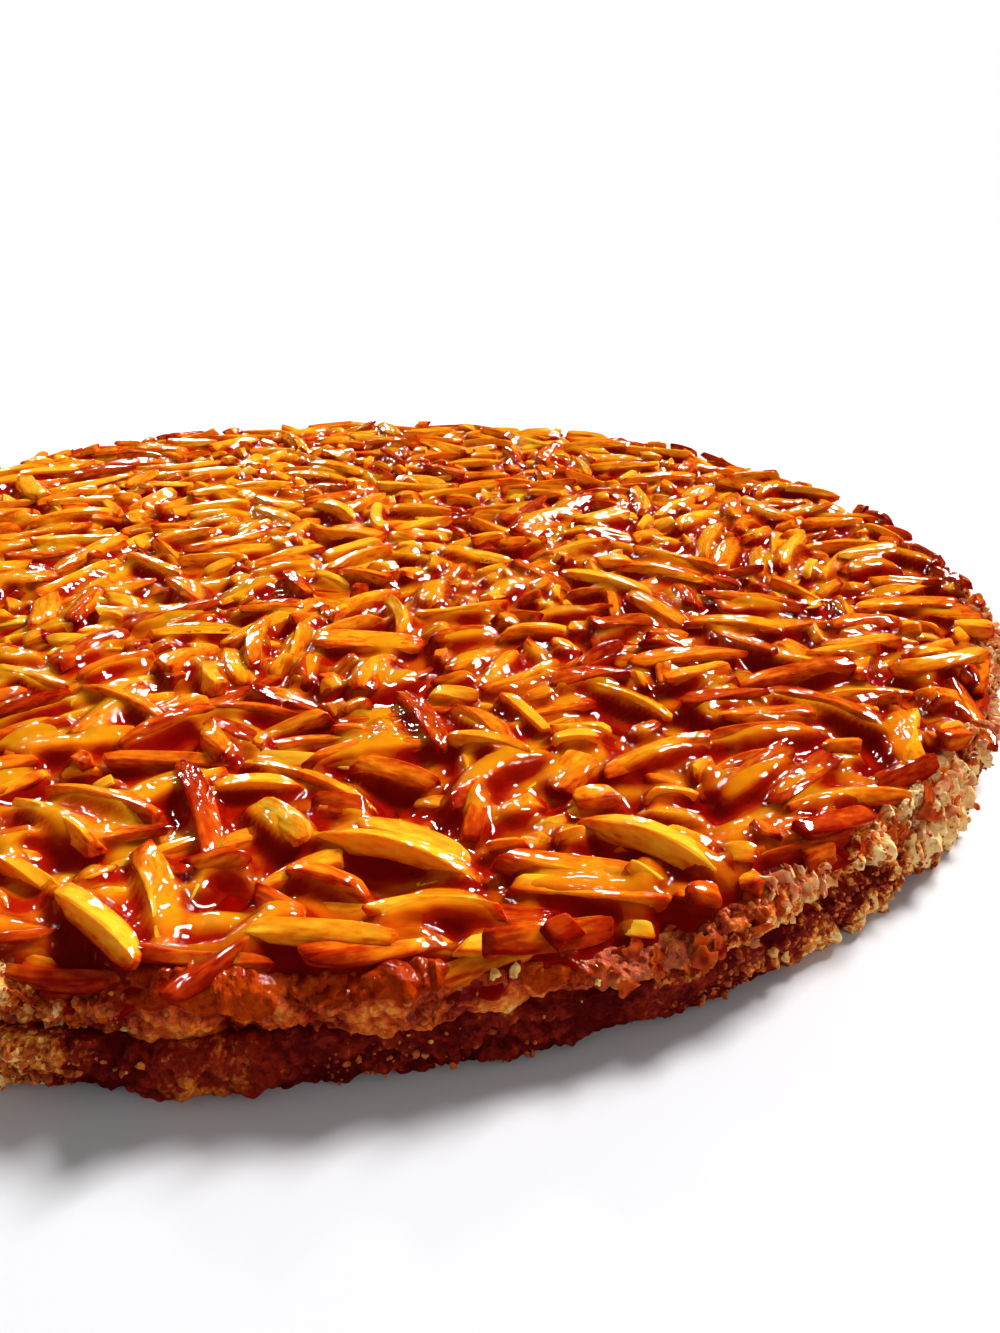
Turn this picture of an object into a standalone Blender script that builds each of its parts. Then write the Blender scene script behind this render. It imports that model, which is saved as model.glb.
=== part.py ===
"""Almond tart: a round shortcrust base that carries a caramel layer packed with slivered almonds.

The tart stands on the plane z = 0 with its centre on the Z axis. Lengths are in metres and angles in radians.
Two solids make it up: the pastry crust, and the almond layer that lies on it, whose caramel has the largest
almond slivers fused on. Both have the same uneven, broken rim.
"""

import math
import random

import bmesh
import bpy
from mathutils import Euler, Matrix, Vector

MM = 0.001

# Driving dimensions of the tart.
TART_RADIUS = 120.0 * MM
CRUST_HEIGHT = 6.8 * MM
CARAMEL_HEIGHT = 12.6 * MM
LAYER_GAP = 0.3 * MM

# The rim's wander: (waves round the rim, phase, height).
RIM_WAVES = (
    (2, 3.3, 0.80 * MM),
    (3, 0.4, 0.40 * MM),
    (7, 2.1, 0.45 * MM),
    (13, 4.0, 0.40 * MM),
    (23, 1.3, 0.30 * MM),
)
# Places where the edge of the almond layer has broken away: (angle in degrees, half width in degrees, depth).
RIM_BREAKS = (
    (-96.0, 10.0, 2.6 * MM),
    (-47.0, 6.0, 1.6 * MM),
    (24.0, 8.0, 1.8 * MM),
    (101.0, 9.0, 2.2 * MM),
    (168.0, 7.0, 1.7 * MM),
    (-143.0, 8.0, 2.0 * MM),
)
# The seam between pastry and caramel at the side rises and falls: (waves round the rim, phase, height).
SEAM_WAVES = ((2, 5.4, 0.35 * MM), (5, 0.9, 0.40 * MM), (11, 3.3, 0.35 * MM))
# Stretches where the pastry stands higher against the caramel: (angle in degrees, half width in degrees, rise).
SEAM_RISES = ((-30.0, 26.0, 1.6 * MM), (150.0, 22.0, 1.2 * MM))
# Broad swells of the caramel's surface: (waves along X, waves along Y, phase, height).
SWELLS = ((1.6, 0.7, 0.5, 0.35 * MM), (0.6, 2.3, 2.2, 0.35 * MM), (2.9, 2.6, 4.1, 0.25 * MM))

# The pastry's outline from foot to shoulder: (share of the crust's height, inset from the rim).
CRUST_SIDE = (
    (0.00, 1.9 * MM),
    (0.10, 0.9 * MM),
    (0.34, 0.3 * MM),
    (0.66, 0.0 * MM),
    (1.00, 0.5 * MM),
)
CRUST_CRUMB = 0.45 * MM
CRUST_STEPS = 132
# The almond layer's outline from seam to brow: (share of the layer's height, inset from the rim).
LAYER_SIDE = ((0.00, 0.7 * MM), (0.30, 0.0 * MM), (0.68, 0.1 * MM), (0.94, 1.0 * MM))
LAYER_CRAG = 0.55 * MM
LAYER_STEPS = 96
# Rings of the flat faces, as shares of the rim's radius.
CRUST_RINGS = (0.955, 0.72, 0.36)
LAYER_RINGS = (0.95, 0.72, 0.36)

# The almond slivers.
SLIVER_COUNT = 186
SLIVER_LENGTHS = (15.0 * MM, 21.5 * MM)
SLIVER_WIDTHS = (3.2 * MM, 4.8 * MM)
SLIVER_THICKNESS = (2.3 * MM, 3.2 * MM)
SLIVER_BOW = (0.2 * MM, 1.5 * MM)
SLIVER_SHOULDER = 0.58
SLIVER_TIP = 0.5
SLIVER_SINK = 0.35 * MM
SLIVER_MARGIN = 9.0 * MM
MOST_PITCH = math.radians(13.0)
RIM_PITCH = math.radians(3.0)
RIM_BELT = 22.0 * MM
MOST_ROLL = math.radians(75.0)
GOLDEN_ANGLE = math.pi * (3.0 - math.sqrt(5.0))

CRUST_SEED = 11
LAYER_SEED = 23
SLIVER_SEED = 41


def clear_scene() -> None:
    """Remove whatever the scene holds."""
    for thing in list(bpy.data.objects):
        bpy.data.objects.remove(thing)


def make_material(name: str, colour: tuple, roughness: float) -> bpy.types.Material:
    """A plain Principled material of one colour."""
    material = bpy.data.materials.new(name)
    material.use_nodes = True
    shader = material.node_tree.nodes["Principled BSDF"]
    shader.inputs["Base Color"].default_value = (*colour, 1.0)
    shader.inputs["Roughness"].default_value = roughness
    shader.inputs["Metallic"].default_value = 0.0
    return material


def sum_of_waves(angle: float, waves: tuple) -> float:
    """The height of a row of waves at an angle round the tart."""
    return sum(height * math.sin(count * angle + phase) for count, phase, height in waves)


def rim_radius(angle: float) -> float:
    """The radius of the pastry's rim at an angle."""
    return TART_RADIUS + sum_of_waves(angle, RIM_WAVES)


def sum_of_bumps(angle: float, bumps: tuple) -> float:
    """The height, at an angle round the tart, of single bumps that each fade out on both sides."""
    height = 0.0
    for middle, half_width, most in bumps:
        away = math.remainder(angle - math.radians(middle), math.tau) / math.radians(half_width)
        height += most * math.exp(-away * away)
    return height


def seam_height(angle: float) -> float:
    """The height at which pastry meets caramel at the side."""
    return CRUST_HEIGHT + sum_of_waves(angle, SEAM_WAVES) + sum_of_bumps(angle, SEAM_RISES)


def caramel_height(x: float, y: float) -> float:
    """The height of the caramel's surface at a place on the tart."""
    height = CARAMEL_HEIGHT
    for along_x, along_y, phase, swell in SWELLS:
        turn = (along_x * x + along_y * y) / TART_RADIUS * math.pi + phase
        height += swell * math.sin(turn)
    return height


def ring_of_points(mesh, steps: int, place) -> list:
    """A ring of vertices, each put where place(angle) says."""
    return [mesh.verts.new(place(math.tau * step / steps)) for step in range(steps)]


def join_rings(mesh, rings: list) -> None:
    """Faces between each ring and the next, with a fan over the first and the last."""
    steps = len(rings[0])
    for lower, upper in zip(rings, rings[1:]):
        for step in range(steps):
            after = (step + 1) % steps
            mesh.faces.new((lower[step], lower[after], upper[after], upper[step]))
    for ring, facing_up in ((rings[0], False), (rings[-1], True)):
        centre = sum((vertex.co for vertex in ring), Vector()) / steps
        hub = mesh.verts.new(centre)
        for step in range(steps):
            after = (step + 1) % steps
            corners = (ring[step], ring[after], hub) if facing_up else (ring[after], ring[step], hub)
            mesh.faces.new(corners)


def object_from(name: str, mesh, material: bpy.types.Material) -> bpy.types.Object:
    """An object in the scene from a finished bmesh."""
    bmesh.ops.triangulate(mesh, faces=mesh.faces[:])
    bmesh.ops.recalc_face_normals(mesh, faces=mesh.faces[:])
    data = bpy.data.meshes.new(name)
    mesh.to_mesh(data)
    mesh.free()
    data.materials.append(material)
    thing = bpy.data.objects.new(name, data)
    bpy.context.scene.collection.objects.link(thing)
    return thing


def polar(radius: float, angle: float, height: float) -> tuple:
    """A point from its radius, angle and height."""
    return (radius * math.cos(angle), radius * math.sin(angle), height)


def make_crust(material: bpy.types.Material) -> bpy.types.Object:
    """The shortcrust base: a disc with a flat underside and a crumbly, uneven side."""
    crumbs = random.Random(CRUST_SEED)
    mesh = bmesh.new()
    rings = []
    for share, inset in CRUST_SIDE:

        def side_point(angle, share=share, inset=inset):
            rough = crumbs.uniform(-CRUST_CRUMB, CRUST_CRUMB)
            return polar(rim_radius(angle) - inset + rough, angle, share * seam_height(angle))

        rings.append(ring_of_points(mesh, CRUST_STEPS, side_point))
    for share in CRUST_RINGS:

        def top_point(angle, share=share):
            inward = CRUST_HEIGHT + (seam_height(angle) - CRUST_HEIGHT) * share
            return polar(rim_radius(angle) * share, angle, inward)

        rings.append(ring_of_points(mesh, CRUST_STEPS, top_point))
    join_rings(mesh, rings)
    return object_from("pastry_crust", mesh, material)


def make_caramel(material: bpy.types.Material) -> bpy.types.Object:
    """The caramel of the almond layer, before any sliver is added: a slab with a craggy, broken edge."""
    crags = random.Random(LAYER_SEED)
    mesh = bmesh.new()

    def edge_radius(angle):
        return rim_radius(angle) - sum_of_bumps(angle, RIM_BREAKS)

    def under_point(share):
        def place(angle):
            flat = CRUST_HEIGHT + (seam_height(angle) - CRUST_HEIGHT) * share
            return polar(edge_radius(angle) * share, angle, flat + LAYER_GAP)

        return place

    def side_point(share, inset):
        def place(angle):
            foot = seam_height(angle) + LAYER_GAP
            radius = edge_radius(angle) - inset
            brow = caramel_height(*polar(radius, angle, 0.0)[:2])
            rough = crags.uniform(-LAYER_CRAG, LAYER_CRAG)
            return polar(radius + rough, angle, foot + (brow - foot) * share)

        return place

    def top_point(share):
        def place(angle):
            x, y, _ = polar(edge_radius(angle) * share, angle, 0.0)
            return (x, y, caramel_height(x, y))

        return place

    rings = [ring_of_points(mesh, LAYER_STEPS, under_point(share)) for share in reversed(LAYER_RINGS)]
    rings += [ring_of_points(mesh, LAYER_STEPS, side_point(*step)) for step in LAYER_SIDE]
    rings += [ring_of_points(mesh, LAYER_STEPS, top_point(share)) for share in LAYER_RINGS]
    join_rings(mesh, rings)
    return object_from("almond_layer", mesh, material)


def sliver_mesh(name: str, length: float, width: float, thickness: float, bow: float) -> bpy.types.Mesh:
    """One almond sliver along X: a four-sided baton, bowed in its own plane, with a chisel edge at each end."""
    mesh = bmesh.new()

    def corner(station, side, up, fullness):
        across = bow * (1.0 - station * station) + side * fullness * width / 2.0
        return mesh.verts.new((station * length / 2.0, across, up * thickness / 2.0))

    tips = [[corner(end, side, 0.1, SLIVER_TIP) for side in (-1, 1)] for end in (-1, 1)]
    loops = [
        [corner(station, side, up, 1.0) for side, up in ((-1, -1), (1, -1), (0.8, 1), (-0.8, 1))]
        for station in (-SLIVER_SHOULDER, SLIVER_SHOULDER)
    ]
    for place in range(4):
        after = (place + 1) % 4
        mesh.faces.new((loops[0][place], loops[1][place], loops[1][after], loops[0][after]))
    for tip, loop in zip(tips, loops):
        mesh.faces.new((tip[0], tip[1], loop[1], loop[0]))
        mesh.faces.new((tip[1], loop[2], loop[1]))
        mesh.faces.new((tip[0], loop[3], loop[2], tip[1]))
        mesh.faces.new((tip[0], loop[0], loop[3]))
    bmesh.ops.triangulate(mesh, faces=mesh.faces[:])
    bmesh.ops.recalc_face_normals(mesh, faces=mesh.faces[:])
    data = bpy.data.meshes.new(name)
    mesh.to_mesh(data)
    mesh.free()
    return data


def lie_of_the_slivers(x: float, y: float) -> float:
    """The heading that slivers near a place tend to share."""
    u = x / TART_RADIUS
    v = y / TART_RADIUS
    return 1.5 * math.sin(2.3 * u + 0.8) + 1.2 * math.sin(2.9 * v - 1.7 * u + 0.3) - 0.3


def place_slivers(material: bpy.types.Material) -> bpy.types.Collection:
    """The largest almond slivers, spread evenly over the top in a golden-angle spiral."""
    draw = random.Random(SLIVER_SEED)
    heap = bpy.data.collections.new("slivers")
    bpy.context.scene.collection.children.link(heap)
    reach = TART_RADIUS - SLIVER_MARGIN
    for index in range(SLIVER_COUNT):
        radius = reach * math.sqrt((index + 0.5) / SLIVER_COUNT)
        angle = index * GOLDEN_ANGLE
        x, y, _ = polar(radius, angle, 0.0)
        x += draw.uniform(-2.0, 2.0) * MM
        y += draw.uniform(-2.0, 2.0) * MM
        length = draw.uniform(*SLIVER_LENGTHS)
        width = draw.uniform(*SLIVER_WIDTHS)
        thickness = draw.uniform(*SLIVER_THICKNESS)
        bow = draw.uniform(*SLIVER_BOW)
        near_rim = TART_RADIUS - math.hypot(x, y) < RIM_BELT
        pitch = draw.uniform(-1.0, 1.0) * (RIM_PITCH if near_rim else MOST_PITCH)
        roll = draw.uniform(-1.0, 1.0) * MOST_ROLL
        heading = lie_of_the_slivers(x, y) + draw.gauss(0.0, 0.55)
        if near_rim:
            roll *= 0.3
            heading = math.atan2(y, x) + math.pi / 2.0 + draw.gauss(0.0, 0.45)
        standing = abs(math.sin(roll)) * (width - thickness) / 2.0
        height = caramel_height(x, y) + SLIVER_SINK + 0.35 * standing
        name = f"sliver_{index:03d}"
        thing = bpy.data.objects.new(name, sliver_mesh(name, length, width, thickness, bow))
        turn = Euler((roll, pitch, heading), "XYZ").to_matrix().to_4x4()
        thing.matrix_world = Matrix.Translation((x, y, height)) @ turn
        thing.data.materials.append(material)
        heap.objects.link(thing)
    return heap


def fuse(body: bpy.types.Object, heap: bpy.types.Collection) -> None:
    """Join every object of the heap to the body, and remove the heap."""
    union = body.modifiers.new("fuse", "BOOLEAN")
    union.operation = "UNION"
    union.operand_type = "COLLECTION"
    union.collection = heap
    union.solver = "MANIFOLD"
    bpy.context.view_layer.update()
    evaluated = body.evaluated_get(bpy.context.evaluated_depsgraph_get())
    fused = bpy.data.meshes.new_from_object(evaluated)
    body.modifiers.remove(union)
    body.data = fused
    for thing in list(heap.objects):
        bpy.data.objects.remove(thing)
    bpy.data.collections.remove(heap)


def main() -> None:
    """Build the tart."""
    clear_scene()
    pastry = make_material("pastry", (0.46, 0.17, 0.035), 0.75)
    caramel = make_material("caramel", (0.42, 0.09, 0.012), 0.2)
    almond = make_material("almond", (0.70, 0.27, 0.035), 0.3)
    make_crust(pastry)
    layer = make_caramel(caramel)
    fuse(layer, place_slivers(almond))


main()
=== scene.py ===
"""Almond tart, dressed: shortcrust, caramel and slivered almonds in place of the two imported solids.

Everything is in metres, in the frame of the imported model. The almonds are dropped one by one on to a map of
heights, so that each rests on those under it. The caramel is then poured round them up to its level, and the
pastry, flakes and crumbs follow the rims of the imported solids.
"""

import itertools
import logging
import math
from dataclasses import dataclass, field
from enum import Enum
from typing import ClassVar

import bmesh
import bpy
import numpy as np
from mathutils import Euler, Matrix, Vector


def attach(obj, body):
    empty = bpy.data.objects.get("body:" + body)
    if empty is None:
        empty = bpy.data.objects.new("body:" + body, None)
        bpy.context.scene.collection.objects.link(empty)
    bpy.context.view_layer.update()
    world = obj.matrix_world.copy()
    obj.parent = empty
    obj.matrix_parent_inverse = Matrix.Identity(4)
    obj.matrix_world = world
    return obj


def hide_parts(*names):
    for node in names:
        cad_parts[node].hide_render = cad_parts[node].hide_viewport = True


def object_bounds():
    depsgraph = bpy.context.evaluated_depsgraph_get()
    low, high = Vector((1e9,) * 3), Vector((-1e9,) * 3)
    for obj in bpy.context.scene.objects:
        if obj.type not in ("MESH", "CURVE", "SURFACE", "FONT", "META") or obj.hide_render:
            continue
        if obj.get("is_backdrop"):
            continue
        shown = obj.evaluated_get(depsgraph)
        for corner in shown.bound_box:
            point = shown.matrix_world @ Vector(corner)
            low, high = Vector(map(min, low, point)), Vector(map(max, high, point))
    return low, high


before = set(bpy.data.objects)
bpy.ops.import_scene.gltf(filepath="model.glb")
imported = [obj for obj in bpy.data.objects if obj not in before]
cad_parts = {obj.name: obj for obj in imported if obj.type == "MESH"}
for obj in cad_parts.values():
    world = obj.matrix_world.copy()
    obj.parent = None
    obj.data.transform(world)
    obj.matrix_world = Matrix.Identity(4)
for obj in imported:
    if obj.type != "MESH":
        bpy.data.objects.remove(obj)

MM = 0.001
LOG = logging.getLogger("almond_tart")

Colour = tuple[float, float, float]


def shade(red: int, green: int, blue: int) -> Colour:
    """A colour for the shaders from its display values of 0 to 255."""
    parts = (red / 255.0, green / 255.0, blue / 255.0)
    return tuple(part / 12.92 if part <= 0.04045 else ((part + 0.055) / 1.055) ** 2.4 for part in parts)


# Shader nodes.


class Wire:
    """The output of a shader node, on which values are worked out with plain operators."""

    def __init__(self, bench: "Bench", socket: bpy.types.NodeSocket) -> None:
        """Keep the socket and the bench that its node stands on."""
        self.bench = bench
        self.socket = socket

    def maths(self, operation: str, first: "Wire | float", second: "Wire | float" = 0.0) -> "Wire":
        """Add a Math node.

        Args:
            operation: the node's operation.
            first: its first value.
            second: its second value, where it has one.

        Returns:
            The node's output.
        """
        return self.bench.node("ShaderNodeMath", {"operation": operation}, {0: first, 1: second})

    def __add__(self, other: "Wire | float") -> "Wire":
        """The sum of two values."""
        return self.maths("ADD", self, other)

    def __radd__(self, other: float) -> "Wire":
        """The sum of two values."""
        return self.maths("ADD", other, self)

    def __sub__(self, other: "Wire | float") -> "Wire":
        """The difference of two values."""
        return self.maths("SUBTRACT", self, other)

    def __rsub__(self, other: float) -> "Wire":
        """The difference of two values."""
        return self.maths("SUBTRACT", other, self)

    def __mul__(self, other: "Wire | float") -> "Wire":
        """The product of two values."""
        return self.maths("MULTIPLY", self, other)

    def __rmul__(self, other: float) -> "Wire":
        """The product of two values."""
        return self.maths("MULTIPLY", other, self)

    def __pow__(self, power: float) -> "Wire":
        """The value to a power."""
        return self.maths("POWER", self, power)

    def size(self) -> "Wire":
        """The value without its sign."""
        return self.maths("ABSOLUTE", self)

    def least(self, other: "Wire") -> "Wire":
        """The smaller of two values."""
        return self.maths("MINIMUM", self, other)

    def held(self) -> "Wire":
        """The value kept between 0 and 1."""
        return self.bench.node("ShaderNodeClamp", {}, {"Value": self})

    def between(self, low: float, high: float) -> "Wire":
        """A soft step.

        Args:
            low: the value at which the step is 0.
            high: the value at which it is 1.

        Returns:
            The step.
        """
        inputs = {"Value": self, "From Min": low, "From Max": high}
        return self.bench.node("ShaderNodeMapRange", {"interpolation_type": "SMOOTHSTEP"}, inputs)


class Bench:
    """The node tree of a material or of the world."""

    MIX_FACTOR, MIX_FIRST, MIX_SECOND, MIX_RESULT = 0, 6, 7, 2

    def __init__(self, owner: bpy.types.Material | bpy.types.World, shader: str = "Principled BSDF") -> None:
        """Take up the nodes of a new material or world.

        Args:
            owner: the material or the world.
            shader: the name of the shader that it comes with.
        """
        owner.use_nodes = True
        self.owner = owner
        self.tree = owner.node_tree
        self.shader = self.tree.nodes[shader]

    def node(self, kind: str, settings: dict, inputs: dict, output: int | str = 0) -> Wire:
        """Add any node.

        Args:
            kind: the node's type.
            settings: its properties, which are set first; "stops" are a ramp's places and colours.
            inputs: values or wires for its sockets, by name or number.
            output: which output to return.

        Returns:
            That output.
        """
        made = self.tree.nodes.new(kind)
        for name, value in settings.items():
            if name == "stops":
                self.set_stops(made.color_ramp, value)
            else:
                setattr(made, name, value)
        for name, value in inputs.items():
            self.feed(made.inputs[name], value)
        return Wire(self, made.outputs[output])

    @staticmethod
    def set_stops(ramp: bpy.types.ColorRamp, stops: tuple) -> None:
        """Give a ramp its stops, each a place and a colour.

        Args:
            ramp: the ramp.
            stops: its stops.
        """
        while len(ramp.elements) < len(stops):
            ramp.elements.new(1.0)
        for element, (place, colour) in zip(ramp.elements, stops):
            element.position = place
            element.color = (*colour, 1.0)

    def feed(self, socket: bpy.types.NodeSocket, value: object) -> None:
        """Link a wire to a socket, or set the socket's own value.

        Args:
            socket: the socket.
            value: the wire or the value.
        """
        if isinstance(value, Wire):
            self.tree.links.new(value.socket, socket)
        elif socket.type == "RGBA":
            socket.default_value = (*value, 1.0)
        else:
            socket.default_value = value

    def place(self) -> Wire:
        """The place on the object, in metres."""
        return self.node("ShaderNodeTexCoord", {}, {}, "Object")

    def reading(self, name: str) -> Wire:
        """A number that the mesh carries at each vertex."""
        return self.node("ShaderNodeAttribute", {"attribute_name": name}, {}, "Fac")

    def places(self, name: str) -> Wire:
        """A place that the mesh carries at each vertex."""
        return self.node("ShaderNodeAttribute", {"attribute_name": name}, {}, "Vector")

    def part(self, place: Wire, axis: str) -> Wire:
        """One of the three parts of a place."""
        return self.node("ShaderNodeSeparateXYZ", {}, {0: place}, axis)

    def noise(self, place: Wire, size: float, detail: float = 2.0) -> Wire:
        """Soft noise.

        Args:
            place: where it is read.
            size: the size of its patches in metres.
            detail: how many finer layers it has.

        Returns:
            A value of about 0 to 1.
        """
        return self.node("ShaderNodeTexNoise", {}, {"Vector": place, "Scale": 1.0 / size, "Detail": detail})

    def cells(self, place: Wire, size: float, output: str = "Distance") -> Wire:
        """A mosaic of cells of about a size: the distance to a cell's middle, or another of its outputs."""
        return self.node("ShaderNodeTexVoronoi", {}, {"Vector": place, "Scale": 1.0 / size}, output)

    def flecks(self, place: Wire, size: float) -> Wire:
        """A random shade for each cell of such a mosaic, for use as a number."""
        return self.cells(place, size, "Color")

    def ramp(self, tone: Wire, *stops: tuple[float, Colour]) -> Wire:
        """A colour for each tone of 0 to 1, from stops that each have a place and a colour."""
        return self.node("ShaderNodeValToRGB", {"stops": stops}, {"Fac": tone})

    def blend(self, factor: Wire, first: Wire | Colour, second: Wire | Colour) -> Wire:
        """Two colours mixed by a factor."""
        inputs = {self.MIX_FACTOR: factor, self.MIX_FIRST: first, self.MIX_SECOND: second}
        return self.node("ShaderNodeMix", {"data_type": "RGBA"}, inputs, self.MIX_RESULT)

    def bump(self, height: Wire, distance: float, strength: float = 1.0) -> Wire:
        """A normal from a height of 0 to 1 that stands for a distance in metres."""
        return self.node("ShaderNodeBump", {}, {"Height": height, "Distance": distance, "Strength": strength})

    def dress(self, **inputs: object) -> bpy.types.Material | bpy.types.World:
        """Feed the shader.

        Args:
            inputs: values or wires for its sockets, named with underscores for spaces.

        Returns:
            The material or the world.
        """
        for name, value in inputs.items():
            self.feed(self.shader.inputs[name.replace("_", " ")], value)
        return self.owner


# Finishes.


@dataclass(frozen=True)
class CragFinish:
    """A broken, sandy side: dark where caramel soaked in and where its relief sinks, golden when dry and
    where it stands out, and mauve where it bloomed.
    """

    name: str
    soaked: Colour
    brown: Colour
    dry: Colour
    cream: Colour
    bloom: Colour
    wet: Colour = shade(122, 4, 2)
    wet_thin: Colour = shade(220, 84, 8)
    grain: float = 0.5 * MM
    patch: float = 9.0 * MM
    gloss: float = 0.2
    dark: float = 0.62
    speckle: float = 0.3
    speck: float = 0.45 * MM
    coarse_bit: float = 1.3 * MM
    fine_bit: float = 0.6 * MM
    pit: float = 1.2 * MM
    relief: float = 0.5 * MM

    def material(self) -> bpy.types.Material:
        """Make the material.

        Returns:
            The material.
        """
        bench = Bench(bpy.data.materials.new(self.name))
        place = bench.place()
        patches = bench.noise(place, self.patch, 3.0).between(0.42, 0.68)
        grains = bench.noise(place, self.grain, 3.0)
        bits = bench.flecks(place, self.coarse_bit) * 0.6 + bench.flecks(place, self.fine_bit) * 0.4
        raised = bench.reading("raised")
        dryness = bench.reading("dry")
        specks = bench.flecks(place, self.speck).between(0.64, 0.74) * (dryness * 0.9 + 0.35) * self.speckle
        # Lighter where the relief stands out and darker where it sinks; dryness lightens it further, partly
        # the dry crumb's own paleness and partly painted light on the dry stretches at the front right.
        tone = patches * 0.3 + raised * (0.6 + dryness * 0.7)
        tone = tone + grains * 0.3 + bits * (0.5 + dryness * 0.4) + specks
        tone = (tone - dryness * 0.16 - self.dark).held()
        sandy = bench.ramp(tone, (0.0, self.soaked), (0.4, self.brown), (0.74, self.dry), (1.0, self.cream))
        pits = 1.0 - bench.cells(place, self.pit).between(0.2, 0.42)
        height = bench.noise(place, 0.35 * MM, 4.0) * 0.5 + bits * 0.5 - pits * 0.5
        blooming = bench.reading("bloom") * (1.0 - pits * 0.8) * (0.5 + patches * 0.5)
        wetness = (bench.reading("wet") + grains * 0.5 - 0.25).between(0.35, 0.6)
        glazed = bench.blend((bits * 0.7 + patches * 0.3 - 0.1).held(), self.wet, self.wet_thin)
        rough = 0.3 + grains * 0.36 + dryness * 0.2
        film = bench.noise(place, 1.5 * MM, 2.0)
        return bench.dress(
            Base_Color=bench.blend(wetness, bench.blend(blooming, sandy, self.bloom), glazed),
            Roughness=rough - wetness * (rough - 0.07),
            Subsurface_Weight=0.2,
            Subsurface_Radius=(1.0, 0.3, 0.1),
            Subsurface_Scale=0.8 * MM,
            Specular_IOR_Level=self.gloss,
            Normal=bench.bump(height * (1.0 - wetness * 0.8) + film * wetness, self.relief, 0.9),
        )


@dataclass(frozen=True)
class CaramelFinish:
    """Set caramel: clear amber where it is thin, with almonds showing through, deep red where thick, and
    darkened by painted shade in crevices and on flanks.
    """

    name: str = "set_caramel"
    gold: Colour = shade(250, 164, 16)
    amber: Colour = shade(226, 99, 6)
    red: Colour = shade(172, 25, 2)
    deep: Colour = shade(134, 4, 1)
    clearest: float = 0.62
    swell: float = 6.0 * MM
    ripple: float = 2.2 * MM
    dimple: float = 0.9 * MM
    relief: float = 0.4 * MM

    def material(self) -> bpy.types.Material:
        """Make the material.

        Returns:
            The material.
        """
        bench = Bench(bpy.data.materials.new(self.name))
        place = bench.place()
        depth = bench.reading("depth")
        mottle = bench.noise(place, 5.0 * MM, 2.0)
        # Painted shade from the hollow reading darkens the caramel in crevices and on flanks.
        tone = (depth * 0.85 + bench.reading("hollow_shade") * 0.9 + mottle * 0.4 - 0.32).held()
        film = bench.noise(place, self.ripple, 0.0) + bench.noise(place, self.swell, 0.0)
        film = film + bench.noise(place, self.dimple, 0.0) * 0.1
        return bench.dress(
            Base_Color=bench.ramp(
                tone, (0.0, self.gold), (0.28, self.amber), (0.58, self.red), (0.95, self.deep)
            ),
            Roughness=0.04,
            Alpha=self.clearest + (1.0 - self.clearest) * (depth + mottle * 0.2 - 0.1).between(0.05, 0.75),
            Subsurface_Weight=0.55,
            Subsurface_Radius=(1.0, 0.3, 0.05),
            Subsurface_Scale=1.5 * MM,
            Normal=bench.bump(film, self.relief),
        )


@dataclass(frozen=True)
class AlmondFinish:
    """Glazed almond: golden under caramel, browner on top and at the tips, darkened with painted shade on its
    flanks and low in crevices, and streaked lengthwise.
    """

    name: str
    gold: Colour
    amber: Colour
    toast: Colour
    scorch: Colour
    roughness: float = 0.04
    blister: float = 0.3 * MM
    blister_size: float = 1.3 * MM
    skin: float = 0.2
    skin_size: float = 0.55 * MM
    streak: float = 0.7 * MM
    mottle: float = 3.5 * MM
    freckle: float = 1.0 * MM
    wave: float = 3.0 * MM

    def material(self) -> bpy.types.Material:
        """Make the material.

        Returns:
            The material.
        """
        bench = Bench(bpy.data.materials.new(self.name))
        lay = bench.places("lay")
        cut = bench.places("cut")
        edge = bench.part(cut, "X").size().least(bench.part(cut, "Y").size()).between(0.5, 0.86)
        tip = bench.part(cut, "Z").size() ** 7.0
        # The toast reading carries real browning together with painted shade on flanks and in crevices.
        toast_and_shade = bench.reading("toast") + bench.reading("bare") * (edge * 0.16 + tip * 0.2)
        streaks = bench.noise(lay, self.streak, 4.0)
        mottle = bench.noise(lay, self.mottle, 2.0)
        freckles = 1.0 - bench.cells(lay, self.freckle).between(0.08, 0.3)
        tone = (toast_and_shade + streaks * 0.8 + mottle * 0.8 + freckles * 0.14 - 0.78).held()
        stops = ((0.08, self.gold), (0.38, self.amber), (0.68, self.toast), (1.0, self.scorch))
        wobble = bench.noise(lay, self.blister_size, 0.0) + bench.noise(lay, self.wave, 0.0)
        skin = bench.noise(lay, self.skin_size, 1.0) * self.skin
        return bench.dress(
            Base_Color=bench.ramp(tone, *stops),
            Roughness=self.roughness + mottle * 0.05,
            Subsurface_Weight=0.7,
            Subsurface_Radius=(1.0, 0.3, 0.05),
            Subsurface_Scale=1.4 * MM,
            Normal=bench.bump(wobble + skin, self.blister),
        )


@dataclass(frozen=True)
class CrumbFinish:
    """Loose crumb of pastry or of caramel and almond."""

    name: str
    dark: Colour
    light: Colour
    roughness: float
    patch: float = 1.4 * MM
    grain: float = 0.3 * MM
    relief: float = 0.12 * MM

    def material(self) -> bpy.types.Material:
        """Make the material.

        Returns:
            The material.
        """
        bench = Bench(bpy.data.materials.new(self.name))
        place = bench.place()
        tone = (bench.noise(place, self.patch, 1.0) * 2.4 - 0.7).held()
        grains = bench.noise(place, self.grain, 2.0)
        return bench.dress(
            Base_Color=bench.blend(tone, self.dark, self.light),
            Roughness=self.roughness + grains * 0.2,
            Subsurface_Weight=0.25,
            Subsurface_Radius=(1.0, 0.5, 0.2),
            Subsurface_Scale=0.8 * MM,
            Normal=bench.bump(grains, self.relief, 0.7),
        )


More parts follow.
